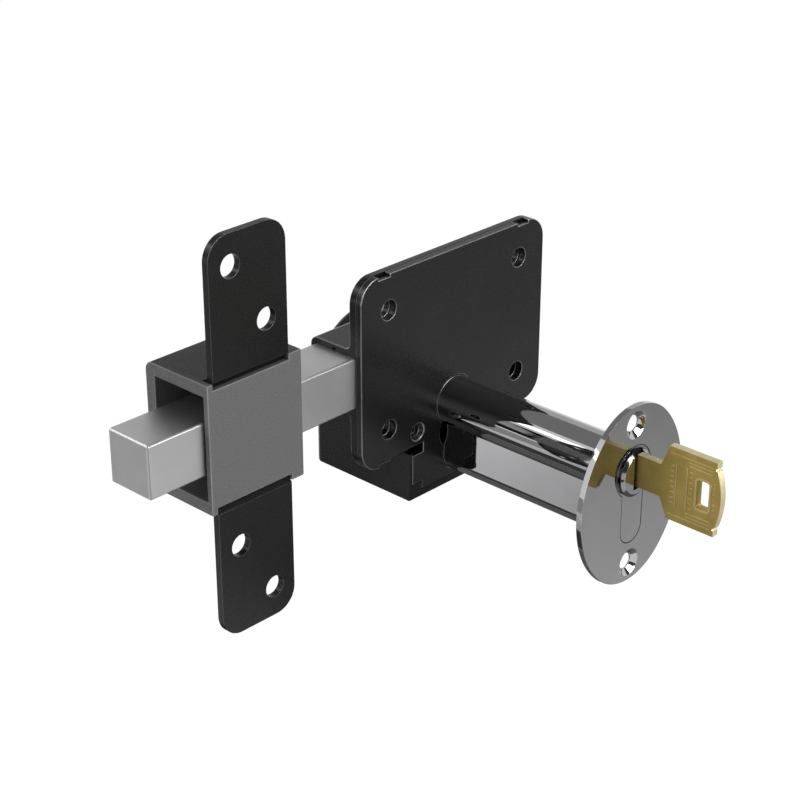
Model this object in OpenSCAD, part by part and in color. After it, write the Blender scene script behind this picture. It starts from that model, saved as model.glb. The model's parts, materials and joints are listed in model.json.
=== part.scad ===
// Long throw gate lock: bolt lock case, long profile cylinder with key and escutcheon, and keeper.
// X runs along the bolt, Y from the outside of the gate (-) to the inside (+), Z up.
// The origin is where the cylinder's axis meets the front plate's outer face.

/* [Front plate] */
// Half of the plate's width
plate_half_w = 43; // [42:0.5:46]
// Height of the plate's top edge above the cylinder axis
plate_top = 53; // [52:0.5:58]
// Depth of the plate's bottom edge below the cylinder axis
plate_drop = 12.3; // [12.3:0.1:13]
// Thickness of the plate
plate_t = 2.5; // [2:0.1:3]
// Corner radius of the plate
plate_corner_r = 8; // [5:0.5:9]
// Distance of the four fixing holes to either side of the axis
fix_hole_x = 30.7; // [28:0.1:33]
// Height of the upper fixing holes above the lower ones
fix_hole_pitch_z = 41; // [40:0.5:42]
// Diameter of the fixing holes in the plate
fix_hole_d = 6.5; // [6:0.1:7]
// Diameter of the small countersunk holes
pilot_hole_d = 3.4; // [3:0.1:3.6]
// Diameter of their countersinks
pilot_sink_d = 6.2; // [5.5:0.1:6.5]
// Distance of the small holes to either side of the axis
pilot_hole_x = 17.5; // [16.5:0.1:18]
// Depth of the small holes below the axis
pilot_hole_drop = 5.6; // [5:0.1:6]
// Radius of the round relief under the cylinder's head
throat_r = 6.9; // [6.5:0.1:7]
// Depth of the relief's centre below the axis
throat_drop = 10.2; // [10:0.1:10.5]
// Length of the shallow notches in the plate's edges
notch_len = 5; // [4:0.5:6]
// Depth of the notches
notch_depth = 1; // [0.6:0.1:1.2]
// Distance from the axis to the notches' inner ends
notch_x = 30.1; // [29:0.1:31]

/* [Tab over the cylinder housing] */
// Half of the width of the neck that joins the tab to the plate
neck_half_w = 14.8; // [13:0.1:16]
// Half of the tab's width
tab_half_w = 19.9; // [19.5:0.1:20]
// Half of the width of the tab's foot
foot_half_w = 15.5; // [14:0.1:17]
// Depth of the plate's raised lower edge below the axis
edge_drop = 10.3; // [10:0.1:10.5]
// Depth of the tab's shoulder below the axis
shoulder_drop = 13.6; // [13.4:0.1:14]
// Depth of the step down to the tab's foot below the axis
foot_drop = 24.2; // [23.5:0.1:24.5]
// Depth of the tab's bottom edge below the axis
tab_drop = 27; // [26.8:0.1:27.1]

/* [Lock case] */
// Thickness of the case's flange
flange_t = 2.5; // [2:0.1:3]
// Diameter of the fixing holes in the flange
flange_hole_d = 5.6; // [5.2:0.1:6]
// Wall thickness of the case
case_wall = 2; // [1.8:0.1:2.2]
// Half of the cylinder housing's width
housing_half_w = 21.4; // [21.4:0.1:22]
// Depth of the housing's underside below the axis
housing_drop = 29.5; // [29.5:0.1:31]
// Distance of the housing's rear face from the gate face
housing_depth = 44; // [43.5:0.1:45]
// Rounding of the case's rear edges
case_edge_r = 3; // [2:0.1:3.5]
// Radius of the fillet between flange and bolt channel
channel_fillet_r = 2; // [1.5:0.1:2]

/* [Bolt and rack] */
// Side of the square bolt bar
bolt_side = 17.5; // [17:0.1:17.5]
// Height of the bolt's centre line above the cylinder axis
bolt_centre_z = 19.2; // [19.2:0.05:19.3]
// Distance of the bolt's tip from the cylinder axis, bolt thrown
bolt_tip_x = 125.6; // [120:0.5:130]
// Distance of the bolt's tail from the cylinder axis, bolt thrown
bolt_tail_x = 18; // [14:0.5:20]
// Bevel along the bolt's edges
bolt_bevel = 0.5; // [0.3:0.1:0.8]
// Gap between the bolt and its channel on each side
bolt_gap = 0.15; // [0.1:0.01:0.15]
// Number of teeth on the cog cam
cog_teeth = 12; // [12:1:12]
// Radius of the cog's pitch circle; a full turn moves the bolt by its circumference
cog_pitch_r = 12; // [12:0.05:12.1]
// Pressure angle of the teeth
cog_pressure_angle = 25; // [24:1:26]
// Thickness of a cog tooth on the pitch circle
cog_tooth_t = 2.6; // [2.4:0.05:2.65]
// Height of a cog tooth above the pitch circle
cog_addendum = 1.6; // [1.4:0.05:1.6]
// Depth of the cog's gullets below the pitch circle
cog_dedendum = 2; // [1.9:0.05:2.2]
// Depth of the rack's spaces beyond its pitch line
rack_depth = 2.1; // [2:0.05:2.2]
// Width of the cog cam
cog_w = 8.4; // [8:0.1:8.6]
// Gap on each side of the cog in the rack's groove
rack_side_gap = 0.4; // [0.3:0.05:0.5]

/* [Profile cylinder] */
// Diameter of the round head of the profile
head_d = 17; // [17:0.1:17.1]
// Overall height of the profile
profile_h = 33; // [33:0.1:33.1]
// Width of the profile's tail
tail_w = 10; // [10:0.1:10.1]
// Distance of the cylinder's outer end from the gate face
outer_end = 73.4; // [72:0.1:75]
// Distance of the cam's centre behind the gate face
cam_y = 11.6; // [11.4:0.1:11.8]
// Distance from the cam's centre to the inner end
inner_half = 35; // [35:0.5:36]
// Width of the gap that the cam turns in
cam_gap = 10; // [10:0.1:10.2]
// Radius that the gap is cut to around the axis
cam_gap_r = 16; // [15:0.1:16]
// Diameter of the plugs
plug_d = 13; // [12.8:0.1:13]
// Running clearance of a plug in its bore, on the radius
plug_fit = 0.05; // [0.03:0.01:0.08]
// Gap between the profile and the openings that it passes through
profile_gap = 0.1; // [0.1:0.05:0.15]
// Diameter of a pin
pin_d = 2.7; // [2.5:0.1:2.8]
// Distance from the cylinder's end to the first pin
first_pin = 9; // [8:0.5:10]
// Distance between pins
pin_pitch = 4; // [3.8:0.1:4]
// Number of pins in the outer half
outer_pins = 6; // [4:1:6]
// Number of pins in the inner half
inner_pins = 5; // [3:1:5]
// Height of the plug's collar beyond the cylinder's end
collar_h = 2; // [1.5:0.1:2.5]
// Diameter of the collar where it meets the cylinder's end
collar_d = 15.8; // [15:0.1:16]
// Diameter of the collar's flat front
collar_face_d = 13.4; // [13:0.1:14]
// Depth of the open mouth of the keyway in the collar
mouth_depth = 1.5; // [1:0.1:1.6]

/* [Key] */
// Thickness of the key
key_t = 2.5; // [2.3:0.1:2.6]
// Thickness of the blade inside the plug
blade_t = 2.3; // [2.2:0.05:2.4]
// Length of the blade inside the plug
blade_len = 33; // [31:0.5:34]
// Height of the blade's upper edge above the axis
blade_top = 4.4; // [4.2:0.1:4.6]
// Depth of the blade's lower edge below the axis
blade_low = 4.1; // [3.9:0.1:4.1]
// Distance from the plug's face to the bow
shank_len = 8.7; // [7:0.1:10]
// Height of the shank's upper edge above the axis
shank_top = 6.9; // [6:0.1:7]
// Width of the bow along the key
bow_w = 21.9; // [20:0.1:24]
// Height of the bow
bow_h = 24.6; // [24:0.1:27]
// Height of the bow's centre above the axis
bow_centre_z = 1.8; // [1:0.1:2]
// How far the bow's outer side bulges
bow_bulge = 1.9; // [1:0.1:3]
// Distance of the window from the bow's outer side
window_inset = 4.2; // [4:0.1:5]
// Width of the window in the bow
window_w = 4.4; // [4.4:0.1:5]
// Height of the window in the bow
window_h = 9.4; // [8:0.1:10]
// Travel of the key out of the plug
key_travel = 36; // [35:0.5:38]

/* [Escutcheon] */
// Half of the escutcheon's width
escutcheon_half_w = 24.8; // [24.5:0.1:25.5]
// Half of the escutcheon's height
escutcheon_half_h = 30; // [29.5:0.1:30.5]
// Radius of the escutcheon's upper and lower ends
escutcheon_end_r = 21; // [20:0.1:22]
// Thickness of the escutcheon
escutcheon_t = 2; // [1.8:0.1:2.5]
// Depth of the escutcheon's centre below the axis
escutcheon_drop = 8.1; // [8:0.1:8.5]
// Distance of the screw holes above and below the centre
escutcheon_hole_z = 23.8; // [23.5:0.1:24.5]
// Diameter of the escutcheon's screw holes
escutcheon_hole_d = 5.2; // [4.8:0.1:5.4]
// Diameter of their countersinks
escutcheon_sink_d = 9.2; // [8.6:0.1:9.4]

/* [Keeper] */
// Distance from the axis to the keeper's near end
keeper_near_x = 68.1; // [60:0.5:75]
// Width of the keeper along the bolt
keeper_w = 36.9; // [36:0.1:40]
// Height of the keeper
keeper_h = 42; // [41:0.5:44]
// Depth of the keeper from the post face
keeper_depth = 27.4; // [27:0.1:30]
// Thickness of the keeper's top, bottom and back
keeper_wall = 4; // [3.8:0.1:4.2]
// Thickness of the keeper's front wall
keeper_front_t = 2; // [1.8:0.1:2.1]
// Rounding of the keeper's rear edges
keeper_edge_r = 3; // [2:0.1:4]
// Distance of the ears from the keeper's far end
ear_inset = 2.2; // [2:0.1:3]
// Width of the ears
ear_w = 29.6; // [28:0.1:30]
// Thickness of the ears
ear_t = 2.45; // [2.2:0.05:2.5]
// Distance of an ear's outer end from the bolt's centre line
ear_reach = 64.7; // [62:0.5:68]
// Corner radius of the ears
ear_corner_r = 7.5; // [5:0.5:8]
// Diameter of the keeper's fixing holes
ear_hole_d = 7.2; // [6.5:0.1:7.5]
// Distance of an ear's outer fixing hole from the ear's end
ear_hole_edge = 10; // [9:0.1:12]
// Distance between an ear's two fixing holes along the ear
ear_hole_pitch = 19.9; // [18:0.1:21]
// Sideways offset of the fixing holes from the ears' centre line
ear_hole_offset = 6.5; // [5:0.1:7]

/* [Hidden] */
$fn = 64;
eps = 0.01;
cut = 1;

// Depths of the case, measured from the gate face
bolt_front_gap = 0.1;
flange_back = plate_t + flange_t;
bolt_front = plate_t + bolt_front_gap;
bolt_back = bolt_front + bolt_side;
bolt_low = bolt_centre_z - bolt_side / 2;
bolt_high = bolt_centre_z + bolt_side / 2;
channel_back = bolt_back + bolt_gap + case_wall;
roof_notch_y = bolt_back - bolt_side / 2 + 0.4;
roof_notch_r = 0.8;
roof_notch_len = 2;
channel_low = bolt_low - bolt_gap - case_wall;
channel_high = bolt_high + bolt_gap + case_wall;
rim_step = 0.3;
rim_top = plate_drop + rim_step;
tab_gap = 0.1;
cavity_half_w = housing_half_w - case_wall;
boss_r = 2.8;
boss_len = 8;
boss_hole_d = 2.5;
cavity_lip = 0.5;
cavity_drop = tab_drop - cavity_lip;

// Cylinder along Y
head_r = head_d / 2;
tail_r = tail_w / 2;
tail_z = head_r + tail_r - profile_h;
profile_low = head_r - profile_h;
inner_end = cam_y + inner_half;
gap_front = cam_y - cam_gap / 2;
gap_back = cam_y + cam_gap / 2;
plug_r = plug_d / 2;
bore_r = plug_r + plug_fit;
groove_depth = 0.5;
groove_r = plug_r - groove_depth;
groove_gap = 0.02;
spigot_r = 5;
clip_t = 0.6;
clip_gap = 0.05;
clip_w = 1.5;
clip_ring_r = plug_r + clip_w;
clip_mouth = 3.2;
lip_t = 0.6;
plug_lip_y = clip_gap + clip_t + lip_t;
collar_gap = 0.05;
collar_step = 0.2;
collar_chamfer_h = 0.9;
mouth_half_w = 2.3;
mouth_low_gap = 0.6;
keyway_gap = 0.3;
slot_half_w = 1.4;
slot_end_gap = 1.4;
slot_len = blade_len + slot_end_gap;
slot_end_wall = 3;
slot_top = blade_top + keyway_gap;
slot_low = blade_low + keyway_gap;
ward_depth = 0.45;
ward_half_h = 0.7;
ward_z = 1.6;
ward_gap = 0.15;
ward_tip = blade_t / 2 - ward_depth + ward_gap;
ward_w = slot_half_w - ward_tip + eps;

// Pins, measured down from the axis
pin_r = pin_d / 2;
pin_fit = 0.06;
chamber_r = pin_r + pin_fit;
chamber_top = 1.6;
pin_rest_gap = 0.25;
key_pin_tip = blade_low + pin_rest_gap;
key_pin_len = 1.8;
pin_cone_h = 0.8;
pin_cone_w = 0.7;
driver_gap = 0.2;
driver_top = plug_r + driver_gap;
driver_len = 5;
chamber_plug_h = 2;
chamber_plug_gap = 0.02;
raised_tip = 1.9;
spring_r = pin_r - 0.1;
spring_wire = 0.35;
spring_coils = 9;
chamber_plug_inset = 0.1;

// Cog and rack
cog_base_r = cog_pitch_r * cos(cog_pressure_angle);
cog_tip_r = cog_pitch_r + cog_addendum;
cog_root_r = cog_pitch_r - cog_dedendum;
spigot_fit = 0.08;
cog_bore_r = spigot_r + spigot_fit;
cog_front = cam_y - cog_w / 2;
cog_back = cam_y + cog_w / 2;
cog_recess_gap = 0.4;
cog_recess_r = plug_r + cog_recess_gap;
cog_recess = plug_lip_y - (cam_gap - cog_w) / 2 + cog_recess_gap / 2;
flank_steps = 6;
rack_pitch = 2 * PI * cog_pitch_r / cog_teeth;
rack_first = -(cog_teeth + 1);
rack_last = 1;
clutch_half_w = 1.2;
clutch_reach = 6.6;
clutch_len = 2.4;
clutch_gap = 0.15;
clutch_fit = 0.05;
outboard_spigot_gap = 0.2;
inboard_spigot_gap = 0.9;
clutch_y = cam_y - outboard_spigot_gap - clutch_len;

// Screw that holds the cylinder in the case
screw_y = cam_y;
screw_drop = 20.2;
screw_d = 4.9;
screw_hole_d = 5;
screw_tip_x = -4;
screw_head_d = 9;
screw_head_h = 2.6;
screw_recess_w = 4.6;
screw_recess_t = 1;
screw_recess_depth = 1.5;

// Plain depth of the screw holes behind their countersinks
sink_land = 0.5;

// Escutcheon outline: two side arcs and two end arcs that meet without a kink
end_arc_z = escutcheon_half_h - escutcheon_end_r;
arc_diff = escutcheon_half_w - escutcheon_end_r;
side_arc_x = (end_arc_z * end_arc_z - arc_diff * arc_diff) / (2 * arc_diff);
side_arc_r = escutcheon_half_w + side_arc_x;
arc_meet_z = side_arc_r * end_arc_z / (side_arc_r - escutcheon_end_r);

// Key
key_face_y = -outer_end - collar_h - collar_gap;
bow_front = key_face_y - shank_len;
bow_back = bow_front - bow_w;
bow_slant = 2.8;
bow_corner_h = 2.4;
bow_arc_half = bow_h / 2 - bow_corner_h;
bow_arc_r = (bow_arc_half * bow_arc_half + bow_bulge * bow_bulge) / (2 * bow_bulge);
bow_nick_r = 0.45;
window_r = 0.9;
window_rim = 0.8;
blade_tip_low = 2.5;
blade_tip_top = 2;
cut_half_w = 0.6;
relief_h = 0.18;
relief_w = 0.5;
relief_margin = 2.1;
relief_step = 1.15;
relief_back = 3.2;
relief_front = 0.5;
panel_h = 14.6;
panel_w = 4;
panel_inset = 2.6;
bar_count = 8;
bar_pitch = 1.75;
bar_len = 1.5;
short_bar_len = 0.9;
bar_gap = 0.3;
bitting = [1.1, 2.2, 0.7, 1.7, 2.4, 1.2];

// Keeper
keeper_far_x = -keeper_near_x - keeper_w;
ear_x = keeper_far_x + ear_inset;
ear_mid_x = ear_x + ear_w / 2;
keeper_high = bolt_centre_z + keeper_h / 2;
keeper_low = bolt_centre_z - keeper_h / 2;
keeper_notch = 2;
ear_end_gap = 0.05;
ear_hole_far = ear_reach - ear_hole_edge;
ear_hole_near = ear_hole_far - ear_hole_pitch;
tongue_reach = 11.4;
tongue_end = bolt_centre_z + tongue_reach;
bend_rise = 0.4;
bend_slip = 0.9;

plate_colour = [0.16, 0.16, 0.17];
case_colour = [0.2, 0.2, 0.21];
steel_colour = [0.78, 0.78, 0.77];
chrome_colour = [0.82, 0.83, 0.85];
brass_colour = [0.78, 0.66, 0.38];
keeper_colour = [0.55, 0.56, 0.57];

// Helpers that extrude a flat outline along one axis
module along_x(x0, x1) {
    translate([x0, 0, 0]) rotate([90, 0, 90]) linear_extrude(x1 - x0) children();
}

module along_y(y0, y1) {
    translate([0, y1, 0]) rotate([90, 0, 0]) linear_extrude(y1 - y0) children();
}

module along_z(z0, z1) {
    translate([0, 0, z0]) linear_extrude(z1 - z0) children();
}

// Ring or disc around the cylinder axis from an outline of [radius, depth]
module turned() {
    rotate([-90, 0, 0]) rotate_extrude() children();
}

module disc_y(r, y0, y1) {
    translate([0, y1, 0]) rotate([90, 0, 0]) cylinder(r = r, h = y1 - y0);
}

module cone_y(r0, r1, y0, y1) {
    translate([0, y1, 0]) rotate([90, 0, 0]) cylinder(r1 = r1, r2 = r0, h = y1 - y0);
}

module box(low, high) {
    translate(low) cube(high - low);
}

// Rectangle whose corners are rounded, each corner only where its flag is 1
module rounded_rect(low, high, r, flags = [1, 1, 1, 1]) {
    corners = [low, [high[0], low[1]], high, [low[0], high[1]]];
    inward = [[1, 1], [-1, 1], [-1, -1], [1, -1]];
    difference() {
        translate(low) square(high - low);
        for (i = [0:3]) {
            if (flags[i] == 1) {
                translate(corners[i]) corner_waste(inward[i], r);
            }
        }
    }
}

// What a rounding of radius r takes off a corner, seen from the corner inward
module corner_waste(inward, r) {
    difference() {
        polygon([[-inward[0], -inward[1]], [inward[0] * r, -inward[1]], [inward[0] * r, inward[1] * r],
            [-inward[0], inward[1] * r]]);
        translate([inward[0] * r, inward[1] * r]) circle(r = r);
    }
}

module bevelled_rect(low, high, c) {
    polygon([[low[0] + c, low[1]], [high[0] - c, low[1]], [high[0], low[1] + c], [high[0], high[1] - c],
        [high[0] - c, high[1]], [low[0] + c, high[1]], [low[0], high[1] - c], [low[0], low[1] + c]]);
}

// Section of the profile cylinder, grown on every side by grow
module profile(grow = 0) {
    circle(r = head_r + grow);
    translate([0, tail_z]) circle(r = tail_r + grow);
    translate([-tail_r - grow, tail_z]) square([tail_w + 2 * grow, -tail_z]);
}

module plate_outline() {
    rounded_rect([-plate_half_w, -plate_drop], [plate_half_w, plate_top], plate_corner_r);
}

module fixing_holes(d) {
    for (side = [-1, 1], z = [0, fix_hole_pitch_z]) {
        translate([side * fix_hole_x, z]) circle(d = d);
    }
}

// Plate, tab and all that is cut from their edges
module front_outline() {
    difference() {
        plate_outline();
        for (side = [-1, 1]) {
            mid = side * (notch_x + notch_len / 2);
            translate([mid - notch_len / 2, plate_top - notch_depth]) square([notch_len, notch_depth + cut]);
            translate([mid - notch_len / 2, -plate_drop - cut]) square([notch_len, notch_depth + cut]);
        }
        translate([-notch_x, -plate_drop - cut]) square([2 * notch_x, plate_drop - edge_drop + cut]);
    }
    translate([-neck_half_w, -shoulder_drop - eps])
        square([2 * neck_half_w, shoulder_drop - edge_drop + 2 * eps]);
    tab_outline(0);
}

module tab_outline(grow) {
    translate([-tab_half_w - grow, -foot_drop - grow])
        square([2 * (tab_half_w + grow), foot_drop - shoulder_drop + 2 * grow]);
    translate([-foot_half_w - grow, -tab_drop - grow])
        square([2 * (foot_half_w + grow), tab_drop - foot_drop + cut]);
}

module front_plate() color(plate_colour) {
    difference() {
        along_y(0, plate_t) difference() {
            front_outline();
            fixing_holes(fix_hole_d);
            profile(profile_gap);
            translate([0, -throat_drop]) circle(r = throat_r);
            for (side = [-1, 1]) {
                translate([side * pilot_hole_x, -pilot_hole_drop]) circle(d = pilot_hole_d);
            }
        }
        for (side = [-1, 1]) {
            translate([side * pilot_hole_x, 0, -pilot_hole_drop])
                cone_y(pilot_sink_d / 2 + eps, pilot_hole_d / 2, -eps, (pilot_sink_d - pilot_hole_d) / 2);
        }
    }
}

// Bolt channel: a box across the plate with rounded rear edges
module channel_block() {
    along_x(-plate_half_w, plate_half_w)
        rounded_rect([plate_t, channel_low], [channel_back, channel_high], case_edge_r, [0, 1, 1, 0]);
}

module channel_fillet(z, side) {
    along_x(-plate_half_w, plate_half_w) difference() {
        translate([flange_back - eps, side > 0 ? z - eps : z - channel_fillet_r])
            square([channel_fillet_r + eps, channel_fillet_r + eps]);
        translate([flange_back + channel_fillet_r, z + side * channel_fillet_r]) circle(r = channel_fillet_r);
    }
}

// Cylinder housing: round above the axis, square below it
module housing_block() {
    turned() rounded_rect([0, plate_t], [housing_half_w, housing_depth], case_edge_r, [0, 0, 1, 0]);
    intersection() {
        along_x(-housing_half_w, housing_half_w)
            rounded_rect([0, -housing_drop], [housing_depth, 0], case_edge_r, [0, 1, 0, 0]);
        along_z(-housing_drop - cut, cut)
            rounded_rect([-housing_half_w, 0], [housing_half_w, housing_depth], case_edge_r, [0, 0, 1, 1]);
    }
}

// Boss behind a small countersunk hole, joined to the housing's side wall
module screw_boss(side) {
    translate([side * pilot_hole_x, -pilot_hole_drop]) circle(r = boss_r);
    translate([side * (pilot_hole_x + housing_half_w) / 2, -pilot_hole_drop])
        square([housing_half_w - pilot_hole_x - case_wall / 2, 2 * boss_r], center = true);
}

module lock_case() color(case_colour) {
    housing_back = housing_depth - case_wall;
    difference() {
        union() {
            difference() {
                union() {
                    along_y(plate_t, flange_back) plate_outline();
                    channel_block();
                    channel_fillet(channel_high, 1);
                    channel_fillet(channel_low, -1);
                    housing_block();
                }
                disc_y(cavity_half_w, plate_t - eps, housing_back);
                box([-cavity_half_w, plate_t - eps, -cavity_drop], [cavity_half_w, housing_back, 0]);
            }
            for (side = [-1, 1]) {
                along_y(plate_t, plate_t + boss_len) screw_boss(side);
            }
        }
        for (side = [-1, 1]) {
            translate([side * pilot_hole_x, 0, -pilot_hole_drop])
                disc_y(boss_hole_d / 2, plate_t - eps, plate_t + boss_len + cut);
        }
        box([-plate_half_w - cut, plate_t - cut, bolt_low - bolt_gap],
            [plate_half_w + cut, bolt_back + bolt_gap, bolt_high + bolt_gap]);
        box([-housing_half_w - cut, -cut, -rim_top], [housing_half_w + cut, plate_t, cut]);
        for (side = [-1, 1]) {
            translate([side * plate_half_w, roof_notch_y, bolt_high + bolt_gap]) rotate([0, 90, 0])
                cylinder(r = roof_notch_r, h = 2 * roof_notch_len, center = true);
        }
        along_y(-cut, plate_t) tab_outline(tab_gap);
        box([-tab_half_w, -cut, -shoulder_drop], [tab_half_w, plate_t, 0]);
        along_y(plate_t - cut, flange_back + cut) fixing_holes(flange_hole_d);
        along_y(housing_back - cut, housing_depth + cut) profile(profile_gap);
        translate([cavity_half_w - cut, screw_y, -screw_drop]) rotate([0, 90, 0])
            cylinder(d = screw_hole_d, h = case_wall + 2 * cut);
    }
}

// One space of the rack, wide at the bolt's underside and narrow at its root
module rack_space() {
    slope = tan(cog_pressure_angle);
    mouth_z = bolt_low - cut;
    root_z = cog_pitch_r + rack_depth;
    mouth = rack_pitch / 4 + (cog_pitch_r - mouth_z) * slope;
    root = rack_pitch / 4 + (cog_pitch_r - root_z) * slope;
    polygon([[-mouth, mouth_z], [mouth, mouth_z], [root, root_z], [-root, root_z]]);
}

module bolt() color(steel_colour) {
    difference() {
        intersection() {
            along_x(-bolt_tip_x, bolt_tail_x)
                bevelled_rect([bolt_front, bolt_low], [bolt_back, bolt_high], bolt_bevel);
            along_y(bolt_front - cut, bolt_back + cut)
                bevelled_rect([-bolt_tip_x, bolt_low], [bolt_tail_x, bolt_high], bolt_bevel);
            along_z(bolt_low - cut, bolt_high + cut)
                bevelled_rect([-bolt_tip_x, bolt_front], [bolt_tail_x, bolt_back], bolt_bevel);
        }
        along_y(cog_front - rack_side_gap, cog_back + rack_side_gap) {
            for (i = [rack_first:rack_last]) {
                translate([i * rack_pitch, 0]) rack_space();
            }
        }
    }
}

function pin_y(i, outer) = outer ? -outer_end + first_pin + i * pin_pitch
    : inner_end - first_pin - i * pin_pitch;
function pin_count(outer) = outer ? outer_pins : inner_pins;

// Upright cylinders, one for each pin of a half, between two heights below the axis
module pin_row(outer, r, top, low) {
    for (i = [0:pin_count(outer) - 1]) {
        translate([0, pin_y(i, outer), -low]) cylinder(r = r, h = low - top);
    }
}

module cylinder_body() color(chrome_colour) {
    difference() {
        along_y(-outer_end, inner_end) profile();
        disc_y(cam_gap_r, gap_front, gap_back);
        disc_y(bore_r, -outer_end - cut, inner_end + cut);
        pin_row(true, chamber_r, 0, -profile_low + cut);
        pin_row(false, chamber_r, 0, -profile_low + cut);
        translate([-tail_w, screw_y, -screw_drop]) rotate([0, 90, 0])
            cylinder(d = screw_hole_d, h = 2 * tail_w);
    }
}

// Section of the keyway: a slot with a ward on each side
module keyway_outline() {
    difference() {
        translate([-slot_half_w, -slot_low]) square([2 * slot_half_w, slot_top + slot_low]);
        for (side = [-1, 1]) {
            translate([side * (ward_tip + ward_w / 2), side * ward_z])
                square([ward_w, 2 * (ward_half_h - ward_gap)], center = true);
        }
    }
}

// A plug with its end on the plane y = 0 and its spigot towards +Y
module plug(len, outer) {
    difference() {
        union() {
            disc_y(plug_r, -collar_gap, len);
            disc_y(collar_d / 2, -collar_h + collar_chamfer_h, -collar_gap);
            cone_y(collar_face_d / 2, collar_d / 2 - collar_step, -collar_h,
                -collar_h + collar_chamfer_h + eps);
            disc_y(groove_r, len - eps, len + clip_gap + clip_t + eps);
            disc_y(plug_r, len + clip_gap + clip_t, len + plug_lip_y);
            disc_y(spigot_r, len, len + cam_gap / 2 - spigot_gap(outer));
        }
        along_y(-collar_h - cut, min(slot_len, len - slot_end_wall)) keyway_outline();
        box([-mouth_half_w, -collar_h - cut, -slot_low - mouth_low_gap],
            [mouth_half_w, -collar_h + mouth_depth, collar_d / 2 + cut]);
        pin_row_at(outer, chamber_r);
        if (outer) {
            box([-clutch_reach - cut, len + clutch_y - gap_front, -clutch_half_w - clutch_fit],
                [clutch_reach + cut, len + cam_gap, clutch_half_w + clutch_fit]);
        }
    }
}

// How far a spigot stops short of the cam's centre plane
function spigot_gap(outer) = outer ? outboard_spigot_gap : inboard_spigot_gap;

module pin_row_at(outer, r) {
    for (i = [0:pin_count(outer) - 1]) {
        translate([0, first_pin + i * pin_pitch, -plug_d]) cylinder(r = r, h = plug_d - chamber_top);
    }
}

module outer_plug() color(chrome_colour) {
    translate([0, -outer_end, 0]) plug(outer_end + gap_front, true);
}

module inner_plug() color(chrome_colour) {
    translate([0, inner_end, 0]) mirror([0, 1, 0]) plug(inner_end - gap_back, false);
}

module clip(y) {
    difference() {
        disc_y(clip_ring_r, y, y + clip_t);
        disc_y(groove_r + groove_gap, y - cut, y + clip_t + cut);
        box([-clip_mouth / 2, y - cut, 0], [clip_mouth / 2, y + clip_t + cut, clip_ring_r + cut]);
    }
}

module outer_plug_clip() color(steel_colour) clip(gap_front + clip_gap);

module inner_plug_clip() color(steel_colour) clip(gap_back - clip_gap - clip_t);

// Involute function of the circle of radius r, in degrees
function involute(r) = let (a = acos(cog_base_r / r)) tan(a) * 180 / PI - a;
function half_tooth(r) = cog_tooth_t / (2 * cog_pitch_r) * 180 / PI + involute(cog_pitch_r) - involute(r);
function polar(r, a) = [r * sin(a), r * cos(a)];

// Outline of one cog tooth that points up
module cog_tooth() {
    steps = flank_steps;
    radii = [for (i = [0:steps]) cog_base_r + (cog_tip_r - cog_base_r) * i / steps];
    root_half = half_tooth(cog_base_r);
    polygon(concat(
        [polar(cog_root_r - cut, -root_half)],
        [for (i = [0:steps]) polar(radii[i], -half_tooth(radii[i]))],
        [for (i = [steps:-1:0]) polar(radii[i], half_tooth(radii[i]))],
        [polar(cog_root_r - cut, root_half)]));
}

module cog_cam() color(steel_colour) {
    difference() {
        union() {
            disc_y(cog_root_r, cog_front, cog_back);
            for (i = [0:cog_teeth - 1]) {
                along_y(cog_front, cog_back) rotate(i * 360 / cog_teeth) cog_tooth();
            }
        }
        disc_y(cog_bore_r, cog_front - cut, cog_back + cut);
        disc_y(cog_recess_r, cog_front - cut, cog_front + cog_recess);
        disc_y(cog_recess_r, cog_back - cog_recess, cog_back + cut);
        box([-clutch_reach - clutch_gap, cog_front - cut, -clutch_half_w - clutch_gap],
            [clutch_reach + clutch_gap, clutch_y + clutch_len + clutch_gap, clutch_half_w + clutch_gap]);
    }
}

// Cross bar that takes the outer plug's turn to the cam
module cam_clutch() color(steel_colour) {
    box([-clutch_reach, clutch_y, -clutch_half_w], [clutch_reach, clutch_y + clutch_len, clutch_half_w]);
}

// Key pin with a coned tip, standing at the height where its tip is tip below the axis
module key_pin(tip) {
    translate([0, 0, -tip - pin_cone_h]) cylinder(r1 = pin_r, r2 = pin_r - pin_cone_w, h = pin_cone_h);
    translate([0, 0, -tip - key_pin_len]) cylinder(r = pin_r, h = key_pin_len - pin_cone_h + eps);
}

module driver_pin(top) {
    translate([0, 0, -top - driver_len]) cylinder(r = pin_r, h = driver_len);
}

// Spring drawn as a sleeve whose wall follows the coils
module spring(top, low) {
    coils = spring_coils;
    pitch = (low - top) / coils;
    translate([0, 0, -low]) rotate_extrude() polygon(concat(
        [for (i = [0:coils]) each [[spring_r - spring_wire, i * pitch],
            if (i < coils) [spring_r - 2 * spring_wire, (i + 0.5) * pitch]]],
        [for (i = [coils:-1:0]) each [[spring_r, i * pitch],
            if (i > 0) [spring_r - spring_wire, (i - 0.5) * pitch]]]));
}

module at_pins(outer) {
    for (i = [0:pin_count(outer) - 1]) {
        translate([0, pin_y(i, outer), 0]) children();
    }
}

module outer_key_pins() color(brass_colour) at_pins(true) key_pin(key_pin_tip);

module outer_driver_pins() color(steel_colour) at_pins(true) driver_pin(driver_top);

module outer_pin_springs() color(steel_colour)
    at_pins(true) spring(driver_top + driver_len, -profile_low - chamber_plug_h);

module inner_key_pins() color(brass_colour) at_pins(false) key_pin(raised_tip);

module inner_driver_pins() color(steel_colour) at_pins(false) driver_pin(raised_tip + key_pin_len);

module inner_pin_springs() color(steel_colour)
    at_pins(false) spring(raised_tip + key_pin_len + driver_len, -profile_low - chamber_plug_h);

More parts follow.
